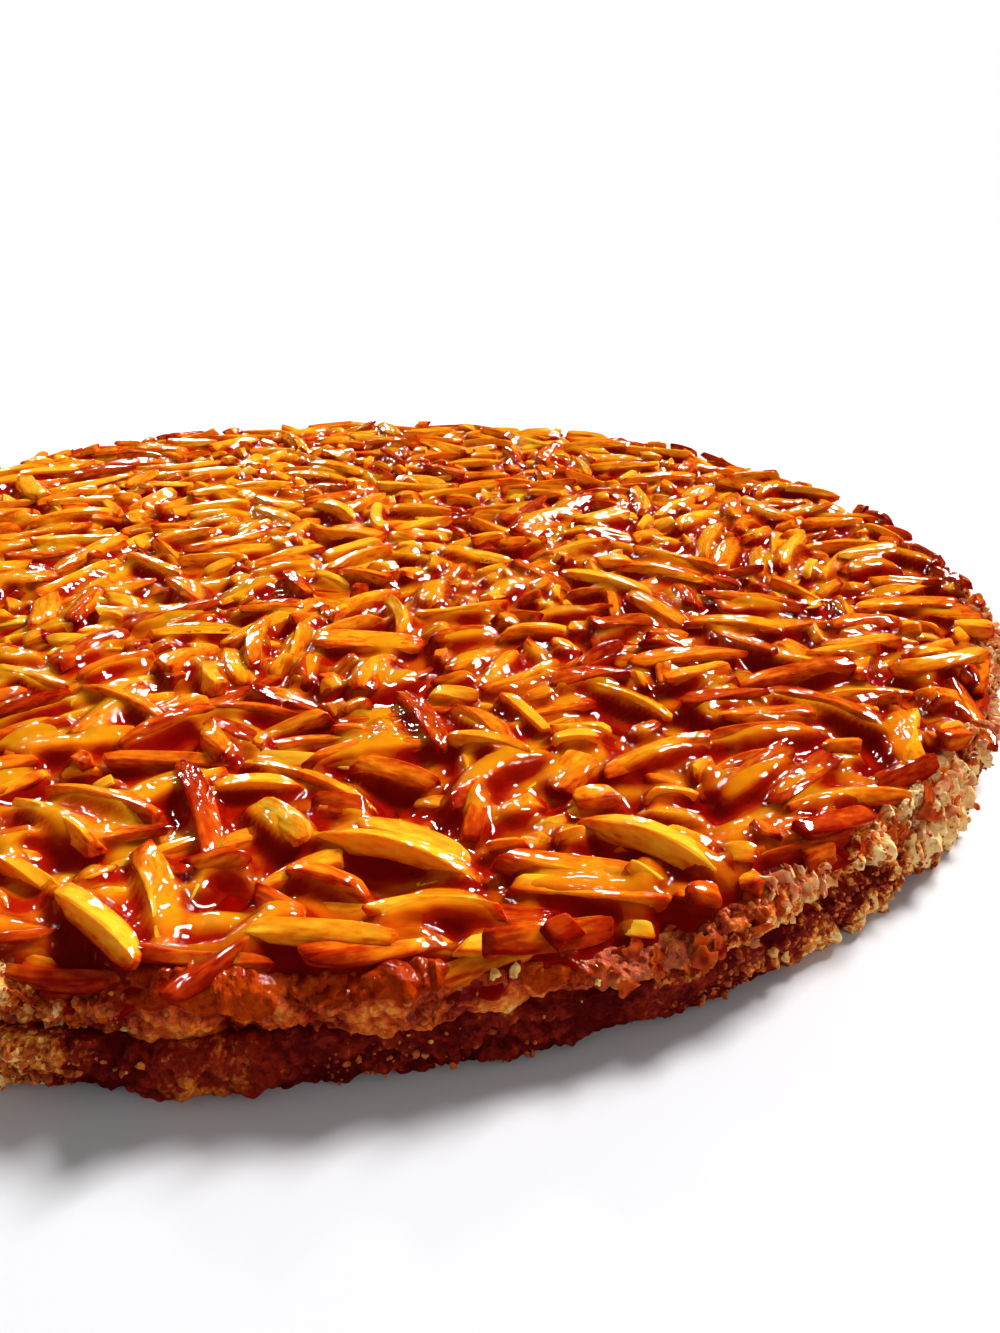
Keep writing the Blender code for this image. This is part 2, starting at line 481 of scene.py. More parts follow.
@dataclass(frozen=True)
class FloorFinish:
    """Plain pale studio floor that fades into the backdrop."""

    name: str = "pale_floor"
    colour: Colour = shade(216, 216, 218)
    fade_from: float = 0.45
    fade_to: float = 1.5

    def material(self) -> bpy.types.Material:
        """Make the material.

        Returns:
            The material.
        """
        bench = Bench(bpy.data.materials.new(self.name))
        from_middle = bench.node("ShaderNodeVectorMath", {"operation": "LENGTH"}, {0: bench.place()}, "Value")
        fade = 1.0 - from_middle.between(self.fade_from, self.fade_to)
        return bench.dress(Base_Color=self.colour, Roughness=0.6, Specular_IOR_Level=0.1, Alpha=fade)


# The pastry's colours are darker than its own, partly as painted shade at its foot next to the floor.
PASTRY = CragFinish(
    "baked_shortcrust",
    soaked=shade(90, 2, 1),
    brown=shade(146, 29, 4),
    dry=shade(232, 134, 38),
    cream=shade(250, 208, 136),
    bloom=shade(140, 60, 34),
    gloss=0.1,
    dark=0.8,
)
BROKEN_SIDE = CragFinish(
    "broken_caramel",
    soaked=shade(128, 4, 2),
    brown=shade(214, 80, 10),
    dry=shade(246, 158, 52),
    cream=shade(252, 212, 142),
    bloom=shade(176, 88, 56),
)
PALE_CRUMB = CrumbFinish("pale_crumb", shade(206, 108, 22), shade(252, 204, 112), 0.6)
DARK_CRUMB = CrumbFinish("dark_crumb", shade(124, 8, 2), shade(226, 112, 24), 0.3)
CREAM_SHARD = CrumbFinish("cream_shard", shade(206, 84, 18), shade(252, 210, 146), 0.5)
AMBER_SHEET = CrumbFinish("amber_sheet", shade(122, 3, 2), shade(216, 80, 10), 0.08)


# Shapes that several pieces share.


@dataclass(frozen=True)
class Grain:
    """Relief that comes out the same on every run."""

    STRIDES: ClassVar = (73856093, 19349663, 83492791)
    SEED_STRIDE: ClassVar = 7919
    CHANNEL_STRIDE: ClassVar = 104729
    MIXERS: ClassVar = (0x2C1B3C6D, 0x297A2D39)
    WORD: ClassVar = 0xFFFFFFFF
    RANGE: ClassVar = 0xFFFFFF

    seed: int

    def toss(self, cells: np.ndarray, channel: int) -> np.ndarray:
        """A random number from 0 to 1 for each whole-numbered cell.

        Args:
            cells: whole numbers, three to a cell.
            channel: which of a cell's random numbers.

        Returns:
            One number for each cell.
        """
        a, b, c = np.moveaxis(cells.astype(np.int64) * self.STRIDES, -1, 0)
        mixed = (a ^ b ^ c ^ (self.seed * self.SEED_STRIDE + channel * self.CHANNEL_STRIDE)) & self.WORD
        for shift, mixer in zip((15, 12), self.MIXERS):
            mixed = ((mixed ^ (mixed >> shift)) * mixer) & self.WORD
        return ((mixed ^ (mixed >> 15)) & self.RANGE) / self.RANGE

    def swell(self, places: np.ndarray, size: float) -> np.ndarray:
        """Smooth relief.

        Args:
            places: points in metres.
            size: the distance over which it changes.

        Returns:
            A number from -1 to 1 for each point.
        """
        spot = places / size
        cell = np.floor(spot)
        part = spot - cell
        ease = part * part * (3.0 - 2.0 * part)
        total = np.zeros(places.shape[:-1])
        for corner in itertools.product((0, 1), repeat=3):
            weight = np.where(np.array(corner, bool), ease, 1.0 - ease).prod(axis=-1)
            total += weight * self.toss(cell + np.array(corner), 0)
        return 2.0 * total - 1.0

    def lumps(self, places: np.ndarray, size: float) -> np.ndarray:
        """Rounded lumps side by side.

        Args:
            places: points in metres.
            size: the distance between lumps.

        Returns:
            1 at the middle of a lump, falling to 0 between lumps, for each point.
        """
        spot = places / size
        cell = np.floor(spot)
        nearest = np.full(places.shape[:-1], 9.0)
        for step in itertools.product((-1, 0, 1), repeat=3):
            here = cell + np.array(step)
            centre = here + np.stack([self.toss(here, channel) for channel in (1, 2, 3)], axis=-1)
            nearest = np.minimum(nearest, ((spot - centre) ** 2).sum(axis=-1))
        return np.clip(1.0 - np.sqrt(nearest), 0.0, 1.0)


class RimGauge:
    """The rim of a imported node: how far out it reaches, and how high its shoulder is, at each angle."""

    STEPS = 66
    RIM_BELT = 2.5 * MM

    def __init__(self, node: str) -> None:
        """Read the node's vertices.

        Args:
            node: the node's name.
        """
        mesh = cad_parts[node].data
        points = np.empty(len(mesh.vertices) * 3)
        mesh.vertices.foreach_get("co", points)
        points = points.reshape(-1, 3)
        angle = np.arctan2(points[:, 1], points[:, 0]) % math.tau
        radius = np.hypot(points[:, 0], points[:, 1])
        step = np.floor(angle / math.tau * self.STEPS).astype(int)
        self.angles = (np.arange(self.STEPS) + 0.5) * math.tau / self.STEPS
        self.radii = np.array([radius[step == index].max() for index in range(self.STEPS)])
        near = radius > self.radii[step] - self.RIM_BELT
        self.shoulders = np.array([points[near & (step == index), 2].max() for index in range(self.STEPS)])

    def reach(self, angle: np.ndarray) -> np.ndarray:
        """The rim's radius at each angle."""
        return np.interp(angle, self.angles, self.radii, period=math.tau)

    def shoulder(self, angle: np.ndarray) -> np.ndarray:
        """The height of the rim's upper edge at each angle."""
        return np.interp(angle, self.angles, self.shoulders, period=math.tau)

    def nearness(self, x: np.ndarray, y: np.ndarray, belt: float) -> np.ndarray:
        """How near each place is to the rim, from 0 at the belt's inner edge to 1 at the rim."""
        return np.clip(1.0 - (self.reach(np.arctan2(y, x) % math.tau) - np.hypot(x, y)) / belt, 0.0, 1.0)


@dataclass
class HeightMap:
    """A square map of heights over the tart, with a number of steps from its middle to each side."""

    STEP: ClassVar = 0.5 * MM

    half: int
    heights: np.ndarray

    @classmethod
    def level(cls, reach: float, height: float) -> "HeightMap":
        """A map of one height that runs out to a reach on each side."""
        half = int(math.ceil(reach / cls.STEP)) + 2
        return cls(half, np.full((2 * half + 1, 2 * half + 1), height))

    def spots(self) -> np.ndarray:
        """The place of every spot of the map, at height 0.

        Returns:
            The places.
        """
        line = np.arange(-self.half, self.half + 1) * self.STEP
        x, y = np.meshgrid(line, line, indexing="ij")
        return np.stack([x, y, np.zeros_like(x)], axis=-1)

    def read(self, x: np.ndarray, y: np.ndarray) -> np.ndarray:
        """The height at places between the spots.

        Args:
            x: the places' x.
            y: the places' y.

        Returns:
            The heights.
        """
        u = np.clip(x / self.STEP + self.half, 0, 2 * self.half - 1.001)
        v = np.clip(y / self.STEP + self.half, 0, 2 * self.half - 1.001)
        i = u.astype(int)
        j = v.astype(int)
        a = u - i
        b = v - j
        h = self.heights
        low = h[i, j] * (1 - a) + h[i + 1, j] * a
        high = h[i, j + 1] * (1 - a) + h[i + 1, j + 1] * a
        return low * (1 - b) + high * b

    def nearest(self, *axes: np.ndarray) -> tuple[np.ndarray, ...]:
        """The numbers of the spots nearest to the given x and y."""
        steps = (np.rint(axis / self.STEP).astype(int) + self.half for axis in axes)
        return tuple(np.clip(step, 0, 2 * self.half) for step in steps)

    def heap(self, x: np.ndarray, y: np.ndarray, z: np.ndarray) -> None:
        """Raise the spots nearest to the given points up to them."""
        np.maximum.at(self.heights, self.nearest(x, y), z)

    def cap(self, x: np.ndarray, y: np.ndarray, height: float) -> None:
        """Lower the spots nearest to the given places to a height."""
        np.minimum.at(self.heights, self.nearest(x, y), height)

    def softened(self, width: float) -> "HeightMap":
        """A copy, smoothed over a width in metres.

        Args:
            width: the width.

        Returns:
            The smoothed copy.
        """
        reach = int(math.ceil(2.5 * width / self.STEP))
        offsets = np.arange(-reach, reach + 1)
        weights = np.exp(-0.5 * (offsets * self.STEP / width) ** 2)
        weights /= weights.sum()
        heights = self.heights
        for axis in (0, 1):
            heights = sum(weight * np.roll(heights, offset, axis) for offset, weight in zip(offsets, weights))
        return HeightMap(self.half, heights)


@dataclass
class MeshParts:
    """Vertices, faces and readings that become one piece."""

    name: str
    points: np.ndarray
    faces: np.ndarray
    readings: dict[str, np.ndarray] = field(default_factory=dict)

    def piece(self, material: bpy.types.Material, slot: str, crisp: float = math.pi) -> bpy.types.Object:
        """Make the object, shade it smooth, and hand it to the frame.

        Args:
            material: its finish.
            slot: the record's material slot; not used.
            crisp: the angle between two faces from which the edge between them stays sharp.

        Returns:
            The object.
        """
        mesh = bpy.data.meshes.new(self.name)
        sides = self.faces.shape[1]
        mesh.vertices.add(len(self.points))
        mesh.vertices.foreach_set("co", self.points.astype(np.float32).ravel())
        mesh.loops.add(self.faces.size)
        mesh.loops.foreach_set("vertex_index", self.faces.astype(np.int32).ravel())
        mesh.polygons.add(len(self.faces))
        mesh.polygons.foreach_set("loop_start", np.arange(0, self.faces.size, sides, dtype=np.int32))
        mesh.update(calc_edges=True)
        mesh.validate()
        mesh.shade_smooth()
        mesh.set_sharp_from_angle(angle=crisp)
        for name, values in self.readings.items():
            kind = "FLOAT" if values.ndim == 1 else "FLOAT_VECTOR"
            key = "value" if values.ndim == 1 else "vector"
            mesh.attributes.new(name, kind, "POINT").data.foreach_set(key, values.astype(np.float32).ravel())
        mesh.materials.append(material)
        thing = bpy.data.objects.new(self.name, mesh)
        bpy.context.scene.collection.objects.link(thing)
        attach(thing, "root")
        LOG.info("%s: %d vertices, %d faces", self.name, len(self.points), len(self.faces))
        return thing


# Almonds.


class Roast(Enum):
    """How an almond sliver came out of the oven."""

    GOLDEN = "golden"
    AMBER = "amber"
    TOASTED = "toasted"
    BLISTERED = "blistered"


class Cut(Enum):
    """How an almond was cut: the range of its lengths, widths and thicknesses, in millimetres."""

    BATON = ((10.5, 19.5), (2.4, 3.7), (1.8, 2.8))
    FLAKE = ((11.0, 19.0), (4.0, 6.0), (1.2, 1.8))
    CHIP = ((3.2, 8.0), (1.9, 4.2), (1.5, 2.8))

    def sizes(self, draw: np.random.Generator) -> tuple[float, float, float]:
        """A length, a width and a thickness, in metres."""
        return tuple(draw.uniform(low, high) * MM for low, high in self.value)


ALMOND_FINISHES = {
    Roast.GOLDEN: AlmondFinish(
        "glazed_golden_almond", shade(252, 186, 42), shade(244, 148, 17), shade(204, 72, 7), shade(148, 11, 2)
    ),
    Roast.AMBER: AlmondFinish(
        "glazed_amber_almond", shade(250, 172, 30), shade(230, 118, 12), shade(180, 48, 5), shade(134, 8, 2)
    ),
    Roast.TOASTED: AlmondFinish(
        "glazed_toasted_almond", shade(228, 120, 16), shade(188, 61, 7), shade(144, 19, 2), shade(114, 5, 1)
    ),
    Roast.BLISTERED: AlmondFinish(
        "glazed_blistered_almond",
        shade(234, 126, 20),
        shade(198, 70, 8),
        shade(152, 24, 3),
        shade(118, 6, 1),
        blister=0.36 * MM,
        blister_size=1.0 * MM,
        skin=0.4,
    ),
}


@dataclass
class Sliver:
    """One almond sliver and how it lies."""

    length: float
    width: float
    thickness: float
    bow: float
    arch: float
    roll: float
    heading: float
    toast: float
    roast: Roast = Roast.AMBER
    x: float = 0.0
    y: float = 0.0
    z: float = 0.0
    pitch: float = 0.0

    def spread(self) -> float:
        """How wide the sliver is, seen from above."""
        return self.width * abs(math.cos(self.roll)) + self.thickness * abs(math.sin(self.roll))

    def rise(self) -> float:
        """How high the sliver is, seen from its end."""
        return self.width * abs(math.sin(self.roll)) + self.thickness * abs(math.cos(self.roll))


@dataclass(frozen=True)
class Featured:
    """A sliver near the front with its own place: its ends in the picture, and its size in millimetres."""

    start: tuple[int, int]
    end: tuple[int, int]
    width: float
    thickness: float
    roast: Roast
    on_edge: bool = False
    bow: float = 0.05
    toast: float = 0.5


FEATURED = (
    Featured((246, 754), (380, 801), 2.9, 2.3, Roast.AMBER, toast=0.8),
    Featured((307, 840), (479, 876), 3.0, 2.5, Roast.GOLDEN, on_edge=True, bow=0.1, toast=0.2),
    Featured((361, 822), (473, 854), 2.9, 2.1, Roast.GOLDEN, toast=0.5),
    Featured((184, 767), (214, 858), 3.2, 2.3, Roast.BLISTERED, toast=0.8),
    Featured((146, 850), (171, 954), 3.9, 2.3, Roast.AMBER, toast=0.5),
    Featured((55, 886), (139, 972), 3.0, 2.6, Roast.GOLDEN, on_edge=True, toast=0.2),
    Featured((55, 788), (164, 826), 3.2, 2.5, Roast.AMBER, toast=0.7),
    Featured((21, 804), (100, 854), 3.0, 2.1, Roast.GOLDEN, toast=0.5),
    Featured((218, 850), (275, 822), 2.5, 2.1, Roast.AMBER, toast=0.6),
    Featured((254, 804), (307, 850), 5.0, 3.0, Roast.GOLDEN, toast=0.3),
    Featured((214, 792), (300, 784), 2.7, 2.3, Roast.GOLDEN, on_edge=True, toast=0.3),
    Featured((257, 883), (343, 858), 2.9, 1.9, Roast.AMBER, toast=0.5),
    Featured((289, 872), (371, 893), 2.9, 2.1, Roast.AMBER, toast=0.7),
    Featured((118, 747), (214, 711), 3.0, 2.3, Roast.BLISTERED, toast=0.7),
    Featured((211, 711), (296, 708), 2.9, 2.3, Roast.TOASTED, toast=0.8),
    Featured((77, 690), (164, 726), 3.0, 2.3, Roast.AMBER, on_edge=True, toast=0.7),
    Featured((403, 700), (446, 751), 3.5, 2.6, Roast.BLISTERED, toast=0.7),
    Featured((443, 811), (546, 751), 3.9, 2.5, Roast.BLISTERED, bow=0.14, toast=0.6),
    Featured((460, 711), (511, 747), 5.0, 3.0, Roast.AMBER, toast=0.8),
    Featured((450, 743), (532, 761), 2.9, 2.1, Roast.GOLDEN, toast=0.6),
    Featured((375, 911), (496, 905), 3.7, 2.3, Roast.GOLDEN, bow=0.12, toast=0.3),
    Featured((585, 830), (742, 880), 3.5, 2.6, Roast.GOLDEN, on_edge=True, bow=0.12, toast=0.3),
    Featured((706, 747), (825, 733), 6.0, 1.5, Roast.TOASTED, on_edge=True, bow=0.0, toast=0.4),
    Featured((761, 692), (897, 738), 5.8, 1.8, Roast.TOASTED, on_edge=True, bow=0.04, toast=0.7),
    Featured((720, 800), (789, 761), 5.8, 1.8, Roast.BLISTERED, on_edge=True, bow=0.02, toast=0.8),
    Featured((784, 808), (930, 780), 3.0, 2.3, Roast.AMBER, toast=0.6),
    Featured((627, 747), (700, 733), 2.9, 2.1, Roast.TOASTED, toast=0.7),
    Featured((602, 775), (706, 744), 3.7, 2.1, Roast.AMBER, toast=0.5),
    Featured((642, 803), (712, 817), 3.0, 2.3, Roast.AMBER, on_edge=True, toast=0.5),
    Featured((821, 690), (908, 682), 3.2, 2.1, Roast.GOLDEN, toast=0.3),
)


@dataclass(frozen=True)
class RimLine:
    """A line of slivers round the rim, with lengths and the ranges of their inset and drop in millimetres."""

    count: int
    roll: float
    inset: tuple[float, float]
    stray: float
    drop: tuple[float, float]
    stamped: bool
    longest: float = 14.0
    widest: float = 3.0
    # Rim slivers are toasted darker, partly for the thick caramel on them and partly as painted shade on the
    # tart's shaded side.
    toast: float = 0.9
    toasted_share: float = 0.6


RIM_SHOULDER = RimLine(60, roll=0.6, inset=(2.6, 5.0), stray=0.35, drop=(0.4, 1.6), stamped=True)
RIM_SIDE = RimLine(26, roll=math.pi / 2.0, inset=(2.3, 3.0), stray=0.08, drop=(2.0, 4.6), stamped=False)


@dataclass
class AlmondHeap:
    """The slivers, dropped one by one where there is room and settled on those under them."""

    count: int = 4200
    under_share: float = 0.6
    under_height: float = 2.6 * MM
    bed: float = 9.4 * MM
    bed_swing: float = 0.8 * MM
    bed_swell: float = 6.0 * MM
    deepest: float = 5.0 * MM
    rim_fall: float = 1.6 * MM
    rim_belt: float = 5.0 * MM
    ceiling: float = 16.8 * MM
    sink: float = 0.8 * MM
    steepest: float = math.tan(math.radians(22.0))
    flake_share: float = 0.2
    chip_share: float = 0.36
    on_edge_share: float = 0.28
    upended_share: float = 0.12
    tries: int = 10
    rim_margin: float = 1.6 * MM
    swirl: float = 42.0 * MM
    swirl_turn: float = 1.1
    rim_pull: float = 11.0 * MM
    featured_drop: float = 2.5 * MM
    featured_roll: float = math.radians(70.0)
    roast_patch: float = 26.0 * MM
    blistered_share: float = 0.07
    toasted_from: float = 1.05
    amber_from: float = 0.6
    featured_sink: float = 0.4 * MM
    soft_width: float = 2.2 * MM
    buried: float = 2.2 * MM
    seed: int = 7
    slivers: list[Sliver] = field(default_factory=list)

    def __post_init__(self) -> None:
        """Set out the tools that the dropping needs."""
        self.draw = np.random.default_rng(self.seed)
        self.grain = Grain(self.seed)
        self.gauge = RimGauge("almond_layer")
        self.map = HeightMap.level(self.gauge.radii.max(), self.bed)
        self.tops = HeightMap.level(self.gauge.radii.max(), self.bed - self.deepest)
        self.room = HeightMap.level(self.gauge.radii.max(), self.ceiling)
        spots = self.map.spots()
        self.map.heights += self.bed_swing * self.grain.swell(spots, self.bed_swell)
        reach = self.gauge.reach(np.arctan2(spots[..., 1], spots[..., 0]) % math.tau)
        near = np.clip(1.0 - (reach - np.hypot(spots[..., 0], spots[..., 1])) / self.rim_belt, 0.0, 1.3)
        self.map.heights -= self.rim_fall * near**1.5
        self.along = np.linspace(-1.0, 1.0, 11)
        self.across = np.array([-0.7, 0.0, 0.7])

    def lie_of_the_land(self, x: np.ndarray, y: np.ndarray, stray: float) -> np.ndarray:
        """The heading of a sliver at each place: in swirls, and along a rim close by.

        Args:
            x: the places' x.
            y: the places' y.
            stray: how far the sliver strays, as an angle.

        Returns:
            The headings.
        """
        places = np.stack([x, y, np.zeros_like(x)], axis=-1)
        swirl = 0.1 + self.swirl_turn * self.grain.swell(places, self.swirl)
        along_rim = np.arctan2(y, x) + math.pi / 2.0
        lean = (along_rim - swirl + math.pi / 2.0) % math.pi - math.pi / 2.0
        near = self.gauge.nearness(x, y, self.rim_pull)
        return swirl + near**0.5 * lean + stray * (1.0 - 0.8 * near)

    def new_sliver(self) -> Sliver:
        """A sliver of random cut and size, not yet placed.

        Returns:
            The sliver.
        """
        draw = self.draw
        cut = draw.choice(np.array([Cut.FLAKE, Cut.CHIP, Cut.BATON]), p=self.shares())
        length, width, thickness = cut.sizes(draw)
        roll = draw.normal(0.0, 0.5)
        if cut is not Cut.FLAKE and draw.uniform() < self.on_edge_share:
            roll += math.pi / 2.0
        return Sliver(
            length=length,
            width=width,
            thickness=thickness,
            bow=draw.uniform(-0.03, 0.1) * length,
            arch=draw.uniform(-0.02, 0.03) * length,
            roll=roll,
            heading=draw.normal(0.0, 0.3 if draw.uniform() < 0.55 else 1.3),
            toast=draw.uniform(0.0, 1.0),
        )

    def shares(self) -> list[float]:
        """The shares of flakes, chips and batons."""
        return [self.flake_share, self.chip_share, 1.0 - self.flake_share - self.chip_share]

    def outside(self, sliver: Sliver, x: np.ndarray, y: np.ndarray, heading: np.ndarray) -> np.ndarray:
        """Whether each place would put a corner of the sliver over the rim.

        Args:
            sliver: the sliver.
            x: the places' x.
            y: the places' y.
            heading: its heading at each place.

        Returns:
            Whether it would, for each place.
        """
        over = np.zeros(len(x), bool)
        for end, side in itertools.product((-1.0, 0.0, 1.0), (-1.0, 1.0)):
            forward = end * sliver.length / 2.0
            across = side * sliver.spread() / 2.0 + sliver.bow * (0.5 - end * end)
            corner_x = x + np.cos(heading) * forward - np.sin(heading) * across
            corner_y = y + np.sin(heading) * forward + np.cos(heading) * across
            reach = self.gauge.reach(np.arctan2(corner_y, corner_x) % math.tau) - self.rim_margin
            over |= np.hypot(corner_x, corner_y) > reach
        return over

    def footprint(self, sliver: Sliver, x: np.ndarray, y: np.ndarray, heading: np.ndarray) -> tuple:
        """The spots that the sliver would cover at each of several places.

        Args:
            sliver: the sliver.
            x: the places' x.
            y: the places' y.
            heading: its heading at each place.

        Returns:
            The spots' x and y, by place, step along and step across.
        """
        along = self.along[None, :, None] * sliver.length / 2.0
        across = self.across[None, None, :] * sliver.spread() / 2.0
        cos = np.cos(heading)[:, None, None]
        sin = np.sin(heading)[:, None, None]
        return x[:, None, None] + along * cos - across * sin, y[:, None, None] + along * sin + across * cos

    def rest(self, sliver: Sliver, spot_x: np.ndarray, spot_y: np.ndarray) -> tuple:
        """Find how the sliver would rest at each of several places.

        Args:
            sliver: the sliver.
            spot_x: the x of the spots it covers at each place.
            spot_y: the y of those spots.

        Returns:
            The height of its underside at its middle and its slope, for each place.
        """
        along = self.along * sliver.length / 2.0
        ground = self.map.read(spot_x, spot_y).max(axis=2)
        middle = len(along) // 2
        left = along[:middle]
        right = along[middle + 1 :]
        span = right[None, :] - left[:, None]
        low = ground[:, :middle, None]
        high = ground[:, None, middle + 1 :]
        bridge = (low * right[None, None, :] - high * left[None, :, None]) / span
        slopes = (high - low) / span
        best = bridge.reshape(len(spot_x), -1).argmax(axis=1)
        slope = slopes.reshape(len(spot_x), -1)[np.arange(len(spot_x)), best]
        slope = np.clip(slope, -self.steepest, self.steepest)
        clearance = (ground - slope[:, None] * along[None, :]).max(axis=1)
        return clearance - self.sink, slope

    def drop(self, sliver: Sliver, x: np.ndarray, y: np.ndarray, heading: np.ndarray) -> bool:
        """Settle the sliver at the lowest of several places, if any has room.

        Args:
            sliver: the sliver.
            x: the places' x.
            y: the places' y.
            heading: its heading at each place.

        Returns:
            Whether it was placed.
        """
        spot_x, spot_y = self.footprint(sliver, x, y, heading)
        height, slope = self.rest(sliver, spot_x, spot_y)
        top = height + sliver.rise() + np.abs(slope) * sliver.length / 2.0
        top[self.outside(sliver, x, y, heading)] = 1.0
        top[top > self.room.read(spot_x, spot_y).min(axis=(1, 2))] = 1.0
        best = int(top.argmin())
        if top[best] > self.ceiling:
            return False
        self.settle(sliver, (x[best], y[best], heading[best]), height[best], slope[best])
        if self.draw.uniform() < self.upended_share:
            self.upend(sliver)
        sliver.roast = self.roast_at(sliver.x, sliver.y)
        self.stamp(sliver)
        return True

    @staticmethod
    def settle(sliver: Sliver, place: tuple, height: float, slope: float) -> None:
        """Lay the sliver at a place.

        Args:
            sliver: the sliver.
            place: its x, y and heading.
            height: the height of its underside.
            slope: the slope of its underside.
        """
        sliver.x, sliver.y, sliver.heading = map(float, place)
        sliver.pitch = -math.atan(float(slope))
        sliver.z = float(height) + sliver.rise() / 2.0

    def keep_room(self, sliver: Sliver, height: float) -> None:
        """Let nothing that is dropped where the sliver lies reach above a height."""
        place = np.array([[sliver.x], [sliver.y], [sliver.heading]])
        self.room.cap(*self.footprint(sliver, *place), height)

    def featured(self, studio: "Studio") -> list[Sliver]:
        """The slivers that have places of their own, laid out flat where the camera sees them.

        Args:
            studio: the studio, with the camera.

        Returns:
            The slivers.
        """
        level = self.ceiling - self.featured_drop
        laid = []
        for item in FEATURED:
            start = studio.on_plane(*item.start, level)
            end = studio.on_plane(*item.end, level)
            run = end - start
            length = run.length
            roll = self.featured_roll if item.on_edge else self.draw.normal(0.0, 0.2)
            sliver = Sliver(
                length=length,
                width=item.width * MM,
                thickness=item.thickness * MM,
                bow=item.bow * length,
                arch=0.02 * length,
                roll=roll,
                heading=math.atan2(run.y, run.x),
                toast=item.toast,
                roast=item.roast,
            )
            sliver.x, sliver.y = (start + end).xy / 2.0
            laid.append(sliver)
        return laid

    def roast_at(self, x: float, y: float) -> Roast:
        """Pick a roast: golden towards the left of the middle, darker towards the right and the rim, and
        darker towards the front as painted shade, the back golden as if lit from behind.

        Args:
            x: the sliver's x.
            y: its y.

        Returns:
            The roast.
        """
        place = np.array([[x, y, 0.0]])
        dark = 0.5 + 0.9 * float(self.grain.swell(place + 0.3, self.roast_patch)[0])
        # Painted light: the y term darkens slivers towards the front and turns those at the back golden, as
        # the light falls from behind.
        dark += (0.26 * x - 0.46 * y) / self.gauge.radii.max() + self.draw.normal(-0.04, 0.42)
        if self.draw.uniform() < self.blistered_share:
            return Roast.BLISTERED
        if dark > self.toasted_from:
            return Roast.TOASTED
        return Roast.AMBER if dark > self.amber_from else Roast.GOLDEN

    def seen(self, surface: HeightMap) -> list[Sliver]:
        """The slivers of which anything comes near enough to the caramel's surface to show.

        Args:
            surface: the caramel's surface.

        Returns:
            The slivers.
        """
        shown = []
        for sliver in self.slivers:
            forward = self.along * sliver.length / 2.0
            top = sliver.z + sliver.rise() / 2.0 - math.tan(sliver.pitch) * forward
            x = sliver.x + forward * math.cos(sliver.heading)
            y = sliver.y + forward * math.sin(sliver.heading)
            if (top - surface.read(x, y)).max() > -self.buried:
                shown.append(sliver)
        return shown

    def upend(self, sliver: Sliver) -> None:
        """Tip the sliver up on one end, as far as the ceiling lets it.

        Args:
            sliver: the sliver.
        """
        room = self.ceiling - sliver.z - sliver.rise() / 2.0
        steepest = math.asin(min(0.5, max(0.0, room / (sliver.length / 2.0))))
        tip = min(steepest, self.draw.uniform(0.15, 0.5))
        sliver.pitch = math.copysign(max(tip, abs(sliver.pitch)), sliver.pitch)

    def stamp(self, sliver: Sliver) -> None:
        """Raise the map to the sliver's upper side.

        Args:
            sliver: the sliver.
        """
        along = np.linspace(-1.0, 1.0, 51)[:, None]
        across = np.linspace(-1.0, 1.0, 13)[None, :]
        fullness = np.sqrt(np.clip(1.0 - np.abs(along) ** 3.0, 0.0, 1.0))
        side = across * fullness * sliver.spread() / 2.0 + sliver.bow * (0.5 - along**2)
        forward = along * sliver.length / 2.0
        height = sliver.z - math.tan(sliver.pitch) * forward
        height = height + sliver.rise() / 2.0 * fullness * np.sqrt(1.0 - 0.6 * across**2)
        cos = math.cos(sliver.heading)
        sin = math.sin(sliver.heading)
        x = sliver.x + forward * cos - side * sin
        y = sliver.y + forward * sin + side * cos
        self.map.heap(x, y, height)
        self.tops.heap(x, y, height)
        self.slivers.append(sliver)

    def scatter(self, count: int) -> None:
        """Drop a number of slivers all over the tart.

        Args:
            count: how many.
        """
        reach = self.gauge.radii.max()
        for _ in range(count):
            sliver = self.new_sliver()
            radius = reach * np.sqrt(self.draw.uniform(0.0, 1.0, self.tries))
            angle = self.draw.uniform(0.0, math.tau, self.tries)
            x = radius * np.cos(angle)
            y = radius * np.sin(angle)
            self.drop(sliver, x, y, self.lie_of_the_land(x, y, sliver.heading))

    def line_the_rim(self, line: RimLine) -> None:
        """Lay a line of slivers round the rim.

        Args:
            line: the line.
        """
        angles = (np.arange(line.count) + self.draw.uniform(0.0, 1.2, line.count)) * math.tau / line.count
        for angle in angles:
            sliver = self.new_sliver()
            sliver.length = min(sliver.length, line.longest * MM)
            sliver.width = min(sliver.width, line.widest * MM)
            sliver.toast = line.toast
            sliver.roll = self.draw.normal(line.roll, 0.35)
            radius = self.gauge.reach(angle) - self.draw.uniform(*line.inset) * MM
            heading = angle + math.pi / 2.0 + self.draw.normal(0.0, line.stray)
            place = np.array([[radius * math.cos(angle)], [radius * math.sin(angle)], [heading]])
            height, slope = self.rest(sliver, *self.footprint(sliver, *place))
            height = min(height[0], self.ceiling - sliver.rise()) - self.draw.uniform(*line.drop) * MM
            self.settle(sliver, place[:, 0], height, slope[0] * 0.5)
            sliver.bow = -(sliver.length**2) / (4.0 * radius)
            sliver.roast = Roast.TOASTED if self.draw.uniform() < line.toasted_share else Roast.AMBER
            if line.stamped:
                self.stamp(sliver)
            else:
                self.slivers.append(sliver)

